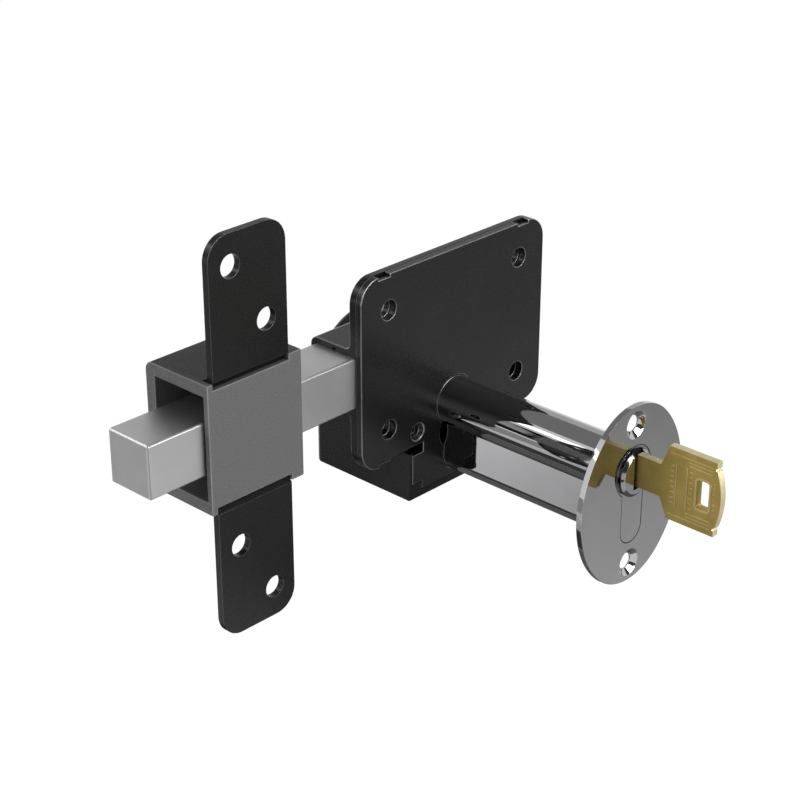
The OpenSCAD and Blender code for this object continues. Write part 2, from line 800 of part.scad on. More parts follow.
module chamber_plugs() color(brass_colour) {
    for (outer = [true, false]) {
        at_pins(outer) translate([0, 0, profile_low + chamber_plug_inset])
            cylinder(r = chamber_r - chamber_plug_gap, h = chamber_plug_h - chamber_plug_inset);
    }
}

module cylinder_screw() color(steel_colour) {
    head_x = housing_half_w;
    difference() {
        translate([0, screw_y, -screw_drop]) rotate([0, 90, 0]) {
            translate([0, 0, screw_tip_x]) cylinder(d = screw_d, h = head_x - screw_tip_x + eps);
            translate([0, 0, head_x]) cylinder(d = screw_head_d, h = screw_head_h);
        }
        for (turn = [0, 90]) {
            translate([head_x + screw_head_h - screw_recess_depth, screw_y, -screw_drop]) rotate([turn, 0, 0])
                translate([0, -screw_recess_w / 2, -screw_recess_t / 2])
                    cube([screw_recess_depth + cut, screw_recess_w, screw_recess_t]);
        }
    }
}

// Outline of the key seen from the side, as [depth, height]
module bow_outline() {
    high = bow_centre_z + bow_h / 2;
    low = bow_centre_z - bow_h / 2;
    corner = bow_back + bow_bulge;
    difference() {
        union() {
            polygon([[bow_front, shank_top], [bow_front - bow_slant, high], [corner, high],
                [corner, low], [bow_front - bow_slant, low], [bow_front, -blade_low]]);
            intersection() {
                translate([bow_back + bow_arc_r, bow_centre_z]) circle(r = bow_arc_r, $fn = 128);
                translate([bow_back - cut, bow_centre_z - bow_arc_half])
                    square([bow_bulge + 2 * cut, 2 * bow_arc_half]);
            }
        }
        for (side = [-1, 1]) {
            translate([corner, bow_centre_z + side * bow_arc_half]) circle(r = bow_nick_r, $fn = 24);
        }
    }
    translate([bow_front - eps, -blade_low]) square([shank_len + eps, shank_top + blade_low]);
}

module blade_outline() {
    tip = key_face_y + blade_len;
    difference() {
        polygon([[key_face_y - eps, -blade_low], [tip - blade_tip_low, -blade_low],
            [tip, -blade_low + blade_tip_low], [tip, blade_top - blade_tip_top],
            [tip - blade_tip_top, blade_top], [key_face_y - eps, blade_top]]);
        for (i = [0:outer_pins - 1]) {
            depth = bitting[i];
            mouth = cut_half_w + depth + eps;
            translate([pin_y(i, true), -blade_low])
                polygon([[-mouth, -eps], [mouth, -eps], [cut_half_w, depth], [-cut_half_w, depth]]);
        }
    }
}

// Column of short bars whose ends on the plug's side are at y
module bow_bars(y, len, count) {
    for (i = [0:count - 1]) {
        z = bow_centre_z + (i - (count - 1) / 2) * bar_pitch;
        translate([y - len, z - relief_w / 2]) square([len, relief_w]);
    }
}

module window_outline(rim) {
    low = [bow_back + window_inset - rim, bow_centre_z - window_h / 2 - rim];
    rounded_rect(low, low + [window_w + 2 * rim, window_h + 2 * rim], window_r + rim);
}

// Raised lines on the bow's faces: three along each end, a panel's two sides, short bars and the window's rim
module bow_relief() {
    back = bow_back + relief_back;
    front = bow_front - bow_slant - relief_front;
    panel_back = front - panel_inset - panel_w;
    for (side = [-1, 1], i = [0:2]) {
        z = bow_centre_z + side * (bow_h / 2 - relief_margin - i * relief_step);
        start = i == 0 ? front : panel_back;
        translate([back, z - relief_w / 2]) square([start - back, relief_w]);
    }
    for (i = [0:1]) {
        translate([front - panel_inset - i * panel_w, bow_centre_z - panel_h / 2])
            square([relief_w, panel_h]);
    }
    bow_bars(front - bar_gap, bar_len, bar_count);
    bow_bars(panel_back - bar_gap, bar_len, bar_count);
    bow_bars(back - bar_gap, short_bar_len, bar_count - 1);
    window_outline(window_rim);
}

module key() color(brass_colour) {
    difference() {
        union() {
            along_x(-key_t / 2, key_t / 2) bow_outline();
            along_x(-blade_t / 2, blade_t / 2) blade_outline();
            along_x(-key_t / 2 - relief_h, key_t / 2 + relief_h) bow_relief();
        }
        along_x(-key_t, key_t) window_outline(0);
        box([blade_t / 2 - ward_depth, key_face_y, ward_z - ward_half_h],
            [key_t, key_face_y + blade_len + cut, ward_z + ward_half_h]);
        box([-key_t, key_face_y, -ward_z - ward_half_h],
            [-blade_t / 2 + ward_depth, key_face_y + blade_len + cut, -ward_z + ward_half_h]);
    }
}

module escutcheon_outline() {
    intersection() {
        translate([-side_arc_x, 0]) circle(r = side_arc_r, $fn = 128);
        translate([side_arc_x, 0]) circle(r = side_arc_r, $fn = 128);
        translate([-escutcheon_half_w, -arc_meet_z]) square([2 * escutcheon_half_w, 2 * arc_meet_z]);
    }
    for (side = [-1, 1]) {
        translate([0, side * end_arc_z]) circle(r = escutcheon_end_r, $fn = 128);
    }
}

module escutcheon() color(chrome_colour) {
    difference() {
        along_y(-outer_end, -outer_end + escutcheon_t) difference() {
            translate([0, -escutcheon_drop]) escutcheon_outline();
            profile(profile_gap);
            for (side = [-1, 1]) {
                translate([0, -escutcheon_drop + side * escutcheon_hole_z]) circle(d = escutcheon_hole_d);
            }
        }
        for (side = [-1, 1]) {
            translate([0, -outer_end, -escutcheon_drop + side * escutcheon_hole_z])
                cone_y(escutcheon_sink_d / 2 + eps, escutcheon_hole_d / 2, -eps, escutcheon_t - sink_land);
        }
    }
}

module keeper_housing() color(keeper_colour) {
    back = keeper_depth;
    tongue_back = keeper_front_t + ear_t;
    difference() {
        along_x(keeper_far_x, -keeper_near_x)
            rounded_rect([0, keeper_low], [back, keeper_high], keeper_edge_r, [0, 1, 1, 0]);
        box([keeper_far_x - cut, keeper_front_t, keeper_low + keeper_wall],
            [-keeper_near_x + cut, back - keeper_wall, keeper_high - keeper_wall]);
        for (side = [-1, 1]) {
            edge = bolt_centre_z + side * keeper_h / 2;
            notch_edge = edge - side * keeper_notch;
            inner = edge - side * (keeper_wall + cut);
            box([ear_x - ear_end_gap, -cut, min(edge + side * cut, notch_edge)],
                [ear_x + ear_w + ear_end_gap, keeper_front_t + eps, max(edge + side * cut, notch_edge)]);
            box([ear_x - ear_end_gap, keeper_front_t, min(edge + side * cut, inner)],
                [ear_x + ear_w + ear_end_gap, tongue_back + ear_end_gap, max(edge + side * cut, inner)]);
        }
    }
}

// Edge view of the upper ear, [depth, height]: flat on the post, then set back behind the front wall
module ear_section() {
    bend = keeper_high - keeper_notch + bend_rise;
    rise = keeper_front_t;
    polygon([[0, bend + rise], [keeper_front_t, bend], [keeper_front_t, tongue_end],
        [keeper_front_t + ear_t, tongue_end], [keeper_front_t + ear_t, bend + bend_slip],
        [ear_t, bend + rise + bend_slip], [ear_t, bolt_centre_z + ear_reach],
        [0, bolt_centre_z + ear_reach]]);
}

module ear() {
    difference() {
        intersection() {
            along_x(ear_x, ear_x + ear_w) ear_section();
            along_y(-cut, keeper_front_t + ear_t + cut)
                rounded_rect([ear_x, tongue_end], [ear_x + ear_w, bolt_centre_z + ear_reach], ear_corner_r,
                    [0, 0, 1, 1]);
        }
        along_y(-cut, ear_t + cut) {
            translate([ear_mid_x - ear_hole_offset, bolt_centre_z + ear_hole_far]) circle(d = ear_hole_d);
            translate([ear_mid_x + ear_hole_offset, bolt_centre_z + ear_hole_near]) circle(d = ear_hole_d);
        }
    }
}

module keeper_upper_ear() color(plate_colour) ear();

// The lower ear is the same piece turned half round on the post face
module keeper_lower_ear() color(plate_colour) {
    translate([ear_mid_x, 0, bolt_centre_z]) rotate([0, 180, 0])
        translate([-ear_mid_x, 0, -bolt_centre_z]) ear();
}

front_plate();
lock_case();
bolt();
cylinder_body();
outer_plug();
inner_plug();
cog_cam();
cam_clutch();
outer_plug_clip();
inner_plug_clip();
outer_key_pins();
outer_driver_pins();
outer_pin_springs();
inner_key_pins();
inner_driver_pins();
inner_pin_springs();
chamber_plugs();
cylinder_screw();
key();
escutcheon();
keeper_housing();
keeper_upper_ear();
keeper_lower_ear();
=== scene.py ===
"""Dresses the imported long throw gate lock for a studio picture.

The outer nodes are shown as copies with broken edges in paint, steel, chrome and brass. The inner
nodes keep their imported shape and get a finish.
"""

import json
import logging
import math
from dataclasses import dataclass
from enum import Enum

import bmesh
import bpy
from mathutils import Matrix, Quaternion, Vector

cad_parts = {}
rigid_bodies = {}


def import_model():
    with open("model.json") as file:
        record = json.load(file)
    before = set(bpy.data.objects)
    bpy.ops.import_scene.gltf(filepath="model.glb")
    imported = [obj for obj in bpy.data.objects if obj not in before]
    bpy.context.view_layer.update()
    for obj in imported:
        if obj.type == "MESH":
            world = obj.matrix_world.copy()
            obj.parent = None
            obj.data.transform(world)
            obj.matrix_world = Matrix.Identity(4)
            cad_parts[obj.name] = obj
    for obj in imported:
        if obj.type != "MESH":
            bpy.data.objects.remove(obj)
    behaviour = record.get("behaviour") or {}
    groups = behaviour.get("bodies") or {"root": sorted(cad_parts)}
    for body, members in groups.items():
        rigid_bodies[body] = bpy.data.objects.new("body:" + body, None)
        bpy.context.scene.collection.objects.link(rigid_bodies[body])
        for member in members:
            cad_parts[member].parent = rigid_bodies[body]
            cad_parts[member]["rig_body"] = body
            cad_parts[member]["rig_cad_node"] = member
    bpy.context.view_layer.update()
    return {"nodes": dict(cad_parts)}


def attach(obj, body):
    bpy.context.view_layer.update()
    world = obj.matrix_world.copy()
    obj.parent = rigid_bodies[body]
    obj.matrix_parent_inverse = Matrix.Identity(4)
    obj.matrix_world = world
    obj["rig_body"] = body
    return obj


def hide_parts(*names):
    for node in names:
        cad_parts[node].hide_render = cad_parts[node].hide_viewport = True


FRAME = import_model()

LOG = logging.getLogger("gate_lock")
MM = 0.001

# Points closer than this are one point in a dressed copy
MERGE_MM = 0.06
# Faces that meet at less than this angle are one flat face
FLAT_DEG = 0.6
# Material slot of a piece's broken edges; its faces have slot 0
EDGE_SLOT = 1
# Places of the Mix node's colour sockets, whose names its other sockets share
MIX_A, MIX_B, MIX_RESULT = 6, 7, 2
# Distance between two nodes on a sheet
NODE_STEP = 220

Colour = tuple[float, float, float]
Place = tuple[float, float, float]
Span = tuple[float, float]
Socket = bpy.types.NodeSocket


class Effect(Enum):
    """Shader node groups that several finishes share."""

    GRAIN = "fine_grain"
    BLOTCHES = "soft_blotches"
    DRAWN_LINES = "drawn_lines"
    PEEL = "orange_peel"


def clear_selection() -> None:
    """Leaves object mode with nothing selected."""
    if bpy.context.object is not None and bpy.context.object.mode != "OBJECT":
        bpy.ops.object.mode_set(mode="OBJECT")
    bpy.ops.object.select_all(action="DESELECT")


def make_active(piece: bpy.types.Object) -> None:
    """Selects one piece alone and makes it the active one.

    Args:
        piece: the object that the next operators work on.
    """
    clear_selection()
    piece.select_set(True)
    bpy.context.view_layer.objects.active = piece


def apply_modifiers(piece: bpy.types.Object) -> None:
    """Applies every modifier of a piece in order.

    Args:
        piece: the object whose modifiers become part of its mesh.
    """
    make_active(piece)
    for modifier in list(piece.modifiers):
        bpy.ops.object.modifier_apply(modifier=modifier.name)


def copy_of_node(node: str, name: str) -> bpy.types.Object:
    """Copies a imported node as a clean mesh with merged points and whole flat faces.

    Args:
        node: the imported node's name.
        name: the new piece's name.

    Returns:
        The copy, which rides on nothing yet.
    """
    make_active(FRAME["nodes"][node])
    bpy.ops.object.duplicate()
    piece = bpy.context.active_object
    piece.name = name
    piece.data.name = name
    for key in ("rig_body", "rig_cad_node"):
        if key in piece:
            del piece[key]
    piece.parent = None
    piece.data.materials.clear()
    bpy.ops.object.mode_set(mode="EDIT")
    bpy.ops.mesh.select_all(action="SELECT")
    bpy.ops.mesh.customdata_custom_splitnormals_clear()
    bpy.ops.mesh.remove_doubles(threshold=MERGE_MM * MM)
    bpy.ops.mesh.dissolve_degenerate(threshold=MERGE_MM * MM)
    bpy.ops.mesh.dissolve_limited(angle_limit=math.radians(FLAT_DEG))
    bpy.ops.object.mode_set(mode="OBJECT")
    return piece


@dataclass(frozen=True)
class EdgeBreak:
    """The small rounding that takes the sharpness off a made edge.

    The bevel's clamp narrows a whole run for one short edge near it, so it is used only where the
    run itself has an edge shorter than a share of the width.

    Attributes:
        width_mm: how far the rounding reaches on each side of the edge.
        segments: how many steps it has.
        angle_deg: edges that turn by more than this are rounded.
        clamp_share: the share of the width below which an edge counts as short.
        flat_weight: how strongly large faces keep their shading flat.
        place_digits: digits to which a corner's place is rounded.
    """

    width_mm: float = 0.3
    segments: int = 2
    angle_deg: float = 35.0
    clamp_share: float = 0.5
    flat_weight: int = 90
    place_digits: int = 7

    def is_sharp(self, edge: bmesh.types.BMEdge) -> bool:
        """Tells whether an edge is an outer corner."""
        return edge.is_manifold and edge.calc_face_angle_signed() > math.radians(self.angle_deg)

    def place_of(self, corner: bmesh.types.BMVert) -> Place:
        """Gives a corner's rounded place, by which it is found again."""
        return corner.co.to_tuple(self.place_digits)

    def runs(self, mesh: bmesh.types.BMesh) -> list[set[Place]]:
        """Gathers the sharp edges into runs of edges that touch.

        Args:
            mesh: the piece's mesh in edit mode.

        Returns:
            The points of each run, in a fixed order.
        """
        waiting = {edge for edge in mesh.edges if self.is_sharp(edge)}
        found = []
        while waiting:
            line = [waiting.pop()]
            points = set()
            while line:
                for corner in line.pop().verts:
                    points.add(self.place_of(corner))
                    touching = waiting.intersection(corner.link_edges)
                    waiting -= touching
                    line.extend(touching)
            found.append(points)
        return sorted(found, key=min)

    def select_run(self, piece: bpy.types.Object, points: set[Place]) -> float:
        """Selects the sharp edges of one run and nothing else.

        Args:
            piece: the object, in edit mode.
            points: the run's points.

        Returns:
            The length of the run's shortest edge.
        """
        bpy.ops.mesh.select_all(action="DESELECT")
        shortest = math.inf
        for edge in bmesh.from_edit_mesh(piece.data).edges:
            if self.is_sharp(edge) and all(self.place_of(corner) in points for corner in edge.verts):
                edge.select_set(True)
                shortest = min(shortest, edge.calc_length())
        bmesh.update_edit_mesh(piece.data)
        return shortest

    def round_edges(self, piece: bpy.types.Object) -> None:
        """Rounds a piece's outer edges run by run and evens its shading.

        Args:
            piece: the object to round; its edge faces take its second material.
        """
        make_active(piece)
        bpy.ops.object.mode_set(mode="EDIT")
        bpy.ops.mesh.select_mode(type="EDGE")
        for points in self.runs(bmesh.from_edit_mesh(piece.data)):
            shortest = self.select_run(piece, points)
            bpy.ops.mesh.bevel(
                offset=self.width_mm * MM,
                segments=self.segments,
                clamp_overlap=shortest < self.clamp_share * self.width_mm * MM,
                loop_slide=False,
                miter_outer="ARC",
                material=EDGE_SLOT,
            )
        bpy.ops.object.mode_set(mode="OBJECT")
        bpy.ops.object.shade_smooth_by_angle(angle=math.radians(self.angle_deg))
        even = piece.modifiers.new("even_shading", "WEIGHTED_NORMAL")
        even.keep_sharp = True
        even.weight = self.flat_weight
        apply_modifiers(piece)


PAINTED_BREAK = EdgeBreak()
FINE_BREAK = EdgeBreak(width_mm=0.15)
HAIR_BREAK = EdgeBreak(width_mm=0.08)


class NodeSheet:
    """Lays out the nodes of one material, world or group."""

    def __init__(self, tree: bpy.types.NodeTree) -> None:
        """Keeps the tree and starts at its left edge."""
        self.tree = tree
        self.column = 0

    def add(self, kind: str, **settings: object) -> bpy.types.Node:
        """Adds a node and sets its properties.

        Args:
            kind: the node's Blender type.
            settings: property names and their values.

        Returns:
            The new node.
        """
        node = self.tree.nodes.new(kind)
        node.location = (self.column, 0)
        self.column += NODE_STEP
        for name, value in settings.items():
            setattr(node, name, value)
        return node

    def link(self, source: Socket, target: Socket) -> None:
        """Joins an output to an input."""
        self.tree.links.new(source, target)

    def feed(self, target: Socket, value: Socket | float) -> None:
        """Sets an input to a number, or joins another node's output to it.

        Args:
            target: the input.
            value: the number or the output.
        """
        if isinstance(value, float):
            target.default_value = value
        else:
            self.link(value, target)

    def math(self, operation: str, a: Socket | float, b: Socket | float) -> Socket:
        """Adds a Math node.

        Args:
            operation: the node's operation.
            a: its first input.
            b: its second input.

        Returns:
            The result's socket.
        """
        node = self.add("ShaderNodeMath", operation=operation)
        self.feed(node.inputs[0], a)
        self.feed(node.inputs[1], b)
        return node.outputs[0]

    def span(
        self,
        value: Socket,
        low: float,
        high: float,
        out_low: Socket | float = 0.0,
        out_high: Socket | float = 1.0,
    ) -> Socket:
        """Maps a value from one range to another and clamps it.

        Args:
            value: the value's socket.
            low: value that gives out_low.
            high: value that gives out_high.
            out_low: result at low.
            out_high: result at high.

        Returns:
            The mapped value's socket.
        """
        node = self.add("ShaderNodeMapRange", clamp=True)
        self.link(value, node.inputs["Value"])
        self.feed(node.inputs["From Min"], low)
        self.feed(node.inputs["From Max"], high)
        self.feed(node.inputs["To Min"], out_low)
        self.feed(node.inputs["To Max"], out_high)
        return node.outputs["Result"]

    def show(self, surface: Socket, kind: str = "ShaderNodeOutputMaterial") -> None:
        """Sends a shader to the output of the material or world."""
        self.link(surface, self.add(kind).inputs["Surface"])


def new_material(name: str) -> tuple[bpy.types.Material, NodeSheet]:
    """Makes a material with no nodes yet.

    Args:
        name: the material's name.

    Returns:
        The material and the sheet of its nodes.
    """
    material = bpy.data.materials.new(name)
    material.use_nodes = True
    material.node_tree.nodes.clear()
    return material, NodeSheet(material.node_tree)


def input_value(value: float | Colour) -> float | tuple[float, ...]:
    """Gives a number as it is and a colour with full alpha, as their sockets hold them."""
    return value if isinstance(value, float) else (*value, 1.0)


class EffectLibrary:
    """Builds the shared shader node groups once.

    A band holds the two noise values between which a group's mask or roughness runs.
    """

    GRAIN_BAND: Span = (0.35, 0.65)
    BLOTCH_BAND: Span = (0.35, 0.68)
    SPARKLE_FINENESS = 5.0

    def __init__(self) -> None:
        """Makes every effect."""
        self.groups = {
            Effect.GRAIN: self._grain(),
            Effect.BLOTCHES: self._blotches(),
            Effect.DRAWN_LINES: self._drawn_lines(),
            Effect.PEEL: self._peel(),
        }

    @staticmethod
    def _new(
        effect: Effect, inputs: dict[str, float | Colour], outputs: dict[str, str]
    ) -> tuple[NodeSheet, dict[str, Socket], dict[str, Socket]]:
        """Starts a group with its ports.

        Args:
            effect: which effect it is.
            inputs: the names that it reads, each with its usual number or colour.
            outputs: the names that it gives, each with its socket kind.

        Returns:
            The sheet, the input sockets by name and the output sockets by name.
        """
        tree = bpy.data.node_groups.new(effect.value, "ShaderNodeTree")
        for name, value in inputs.items():
            kind = "NodeSocketFloat" if isinstance(value, float) else "NodeSocketColor"
            socket = tree.interface.new_socket(name, in_out="INPUT", socket_type=kind)
            socket.default_value = input_value(value)
        for name, kind in outputs.items():
            tree.interface.new_socket(name, in_out="OUTPUT", socket_type=kind)
        sheet = NodeSheet(tree)
        entry = sheet.add("NodeGroupInput")
        leave = sheet.add("NodeGroupOutput")
        reads = {name: entry.outputs[name] for name in inputs}
        gives = {name: leave.inputs[name] for name in outputs}
        return sheet, reads, gives

    @staticmethod
    def _noise(
        sheet: NodeSheet, scale: Socket, detail: float, vector: Socket | None = None
    ) -> Socket:
        """Adds noise on the piece's own coordinates.

        Args:
            sheet: where it goes.
            scale: the noise's scale.
            detail: how many layers of finer noise.
            vector: other coordinates, if any.

        Returns:
            The noise value's socket.
        """
        if vector is None:
            vector = sheet.add("ShaderNodeTexCoord").outputs["Object"]
        noise = sheet.add("ShaderNodeTexNoise")
        noise.inputs["Detail"].default_value = detail
        sheet.link(scale, noise.inputs["Scale"])
        sheet.link(vector, noise.inputs["Vector"])
        return noise.outputs["Fac"]

    def _grain(self) -> bpy.types.NodeTree:
        """Makes fine even grain: a roughness that varies and a height.

        Returns:
            The group.
        """
        inputs = {"Scale": 3000.0, "Low": 0.3, "High": 0.5}
        outputs = {"Value": "NodeSocketFloat", "Height": "NodeSocketFloat"}
        sheet, reads, gives = self._new(Effect.GRAIN, inputs, outputs)
        noise = self._noise(sheet, reads["Scale"], detail=3.0)
        value = sheet.span(noise, *self.GRAIN_BAND, reads["Low"], reads["High"])
        sheet.link(value, gives["Value"])
        sheet.link(noise, gives["Height"])
        return sheet.tree

    def _blotches(self) -> bpy.types.NodeTree:
        """Makes large soft patches between two colours.

        Returns:
            The group.
        """
        inputs = {"Colour A": (0.5, 0.5, 0.5), "Colour B": (0.4, 0.4, 0.4), "Scale": 40.0}
        outputs = {"Colour": "NodeSocketColor", "Mask": "NodeSocketFloat"}
        sheet, reads, gives = self._new(Effect.BLOTCHES, inputs, outputs)
        mask = sheet.span(self._noise(sheet, reads["Scale"], detail=4.0), *self.BLOTCH_BAND)
        mix = sheet.add("ShaderNodeMix", data_type="RGBA")
        sheet.link(mask, mix.inputs["Factor"])
        sheet.link(reads["Colour A"], mix.inputs[MIX_A])
        sheet.link(reads["Colour B"], mix.inputs[MIX_B])
        sheet.link(mix.outputs[MIX_RESULT], gives["Colour"])
        sheet.link(mask, gives["Mask"])
        return sheet.tree

    def _drawn_lines(self) -> bpy.types.NodeTree:
        """Makes fine lines along X, as drawing or grinding leaves them.

        Returns:
            The group.
        """
        inputs = {"Scale": 1500.0, "Stretch": 0.02}
        sheet, reads, gives = self._new(Effect.DRAWN_LINES, inputs, {"Height": "NodeSocketFloat"})
        place = sheet.add("ShaderNodeTexCoord").outputs["Object"]
        stretch = sheet.add("ShaderNodeCombineXYZ")
        sheet.link(reads["Stretch"], stretch.inputs["X"])
        sheet.feed(stretch.inputs["Y"], 1.0)
        sheet.feed(stretch.inputs["Z"], 1.0)
        squeeze = sheet.add("ShaderNodeVectorMath", operation="MULTIPLY")
        sheet.link(place, squeeze.inputs[0])
        sheet.link(stretch.outputs["Vector"], squeeze.inputs[1])
        noise = self._noise(sheet, reads["Scale"], detail=3.0, vector=squeeze.outputs["Vector"])
        sheet.link(noise, gives["Height"])
        return sheet.tree

    def _peel(self) -> bpy.types.NodeTree:
        """Makes the low dimples of sprayed paint with a finer sparkle on top.

        Returns:
            The group.
        """
        inputs = {"Scale": 900.0, "Sparkle": 0.35}
        sheet, reads, gives = self._new(Effect.PEEL, inputs, {"Height": "NodeSocketFloat"})
        broad = self._noise(sheet, reads["Scale"], detail=1.0)
        fine_scale = sheet.math("MULTIPLY", reads["Scale"], self.SPARKLE_FINENESS)
        fine = self._noise(sheet, fine_scale, detail=2.0)
        sparkle = sheet.math("MULTIPLY", fine, reads["Sparkle"])
        sheet.link(sheet.math("ADD", broad, sparkle), gives["Height"])
        return sheet.tree


@dataclass
class Surface:
    """A material in the making: its sheet, its shader and the shared effects."""

    sheet: NodeSheet
    shader: bpy.types.Node
    effects: EffectLibrary

    def place(self, effect: Effect, values: dict[str, float | Colour]) -> bpy.types.Node:
        """Puts an effect into the material with its own values.

        Args:
            effect: which effect.
            values: input names and their values.

        Returns:
            The group node.
        """
        node = self.sheet.add("ShaderNodeGroup", node_tree=self.effects.groups[effect])
        for name, value in values.items():
            node.inputs[name].default_value = input_value(value)
        return node

    def patches(self, first: Colour, second: Colour, scale: float) -> bpy.types.Node:
        """Colours the surface in soft patches.

        Args:
            first: the main colour.
            second: the colour of the patches.
            scale: how fine the patches are.

        Returns:
            The effect's node.
        """
        node = self.place(
            Effect.BLOTCHES, {"Colour A": first, "Colour B": second, "Scale": scale}
        )
        self.sheet.link(node.outputs["Colour"], self.shader.inputs["Base Color"])
        return node

    def grain(self, roughness: Span, scale: float) -> bpy.types.Node:
        """Adds fine grain between two roughnesses, which goes nowhere yet.

        Args:
            roughness: its lowest and highest roughness.
            scale: how fine the grain is.

        Returns:
            The effect's node.
        """
        low, high = roughness
        return self.place(Effect.GRAIN, {"Scale": scale, "Low": low, "High": high})

    def roughen(self, value: Socket) -> None:
        """Feeds the shader's roughness."""
        self.sheet.link(value, self.shader.inputs["Roughness"])

    def bump(self, height: Socket, strength: float, depth_mm: float) -> None:
        """Feeds a height to the shader's normal.

        Args:
            height: the height's socket.
            strength: how much of the bump is used.
            depth_mm: the height's full depth.
        """
        node = self.sheet.add("ShaderNodeBump")
        node.inputs["Strength"].default_value = strength
        node.inputs["Distance"].default_value = depth_mm * MM
        self.sheet.link(height, node.inputs["Height"])
        self.sheet.link(node.outputs["Normal"], self.shader.inputs["Normal"])


@dataclass(frozen=True)
class Finish:
    """What every finish has in common."""

    name: str

    def material(self, effects: EffectLibrary) -> bpy.types.Material:
        """Builds the finish's material, or gives the one already built.

        Args:
            effects: the shared node groups.

        Returns:
            The material.
        """
        known = bpy.data.materials.get(self.name)
        if known is not None:
            return known
        made, sheet = new_material(self.name)
        shader = sheet.add("ShaderNodeBsdfPrincipled")
        sheet.show(shader.outputs["BSDF"])
        self.dress(Surface(sheet, shader, effects))
        return made

    def dress(self, surface: Surface) -> None:
        """Sets the shader; each finish has its own way.

        Args:
            surface: the material in the making.
        """
        raise NotImplementedError


@dataclass(frozen=True)
class PowderCoat(Finish):
    """Sprayed and baked paint with a satin gloss, or the metal where it is rubbed through; bright
    edge copies are partly wear and partly a painted highlight.

    Attributes:
        colour: the main colour.
        faded: the colour of its soft patches.
        roughness: its lowest and highest roughness.
        gloss: strength of the paint's reflection.
        metal: 1 where the metal shows, or else 0.
        patch_scale: how fine the patches are.
        grain_scale: how fine the roughness varies.
        peel_mm: depth of the paint's dimples.
        peel_scale: how fine the dimples are.
        peel_strength: how much of their depth is used.
        sparkle: share of the finer dimples on top.
    """

    colour: Colour
    faded: Colour
    roughness: Span
    gloss: float = 0.5
    metal: float = 0.0
    patch_scale: float = 60.0
    grain_scale: float = 2600.0
    peel_mm: float = 0.007
    peel_scale: float = 1400.0
    peel_strength: float = 0.6
    sparkle: float = 0.4

    def dress(self, surface: Surface) -> None:
        """Sets colour patches, grainy roughness and paint dimples.

        Args:
            surface: the material in the making.
        """
        surface.patches(self.colour, self.faded, self.patch_scale)
        surface.roughen(surface.grain(self.roughness, self.grain_scale).outputs["Value"])
        peel = surface.place(Effect.PEEL, {"Scale": self.peel_scale, "Sparkle": self.sparkle})
        surface.bump(peel.outputs["Height"], self.peel_strength, self.peel_mm)
        surface.shader.inputs["Specular IOR Level"].default_value = self.gloss
        surface.shader.inputs["Metallic"].default_value = self.metal


@dataclass(frozen=True)
class SatinSteel(Finish):
    """Plated or ground steel with a soft sheen and lines along the bar."""

    colour: Colour
    worn: Colour
    roughness: Span = (0.34, 0.46)
    patch_scale: float = 90.0
    grain_scale: float = 2200.0
    line_mm: float = 0.004
    line_scale: float = 1800.0
    line_stretch: float = 0.03
    line_strength: float = 0.45

    def dress(self, surface: Surface) -> None:
        """Sets colour patches, grainy roughness and drawn lines.

        Args:
            surface: the material in the making.
        """
        surface.patches(self.colour, self.worn, self.patch_scale)
        grain = surface.grain(self.roughness, self.grain_scale)
        surface.roughen(grain.outputs["Value"])
        lines = surface.place(
            Effect.DRAWN_LINES, {"Scale": self.line_scale, "Stretch": self.line_stretch}
        )
        height = surface.sheet.math("ADD", lines.outputs["Height"], grain.outputs["Height"])
        surface.bump(height, self.line_strength, self.line_mm)
        surface.shader.inputs["Metallic"].default_value = 1.0


@dataclass(frozen=True)
class PolishedChrome(Finish):
    """Bright chrome plate with the faintest haze."""

    colour: Colour
    haze: Colour
    roughness: Span
    patch_scale: float = 70.0
    ripple_mm: float = 0.0006
    ripple_scale: float = 500.0
    ripple_strength: float = 0.2

    def dress(self, surface: Surface) -> None:
        """Sets faint haze patches and a trace of polishing ripple.

        Args:
            surface: the material in the making.
        """
        patches = surface.patches(self.colour, self.haze, self.patch_scale)
        surface.roughen(surface.sheet.span(patches.outputs["Mask"], 0.0, 1.0, *self.roughness))
        ripple = surface.grain(self.roughness, self.ripple_scale)
        surface.bump(ripple.outputs["Height"], self.ripple_strength, self.ripple_mm)
        surface.shader.inputs["Metallic"].default_value = 1.0


@dataclass(frozen=True)
class SatinBrass(Finish):
    """Stamped brass, dull on its faces; brighter copies of it are painted highlights on the key's
    edges, relief, end and tops, those on the edges partly wear.
    """

    colour: Colour
    tarnish: Colour
    roughness: Span
    patch_scale: float = 160.0
    grain_mm: float = 0.006
    grain_scale: float = 3200.0
    grain_strength: float = 0.4

    def dress(self, surface: Surface) -> None:
        """Sets tarnish patches, grainy roughness and a fine stamped grain.

        Args:
            surface: the material in the making.
        """
        surface.patches(self.colour, self.tarnish, self.patch_scale)
        grain = surface.grain(self.roughness, self.grain_scale)
        surface.roughen(grain.outputs["Value"])
        surface.bump(grain.outputs["Height"], self.grain_strength, self.grain_mm)
        surface.shader.inputs["Metallic"].default_value = 1.0


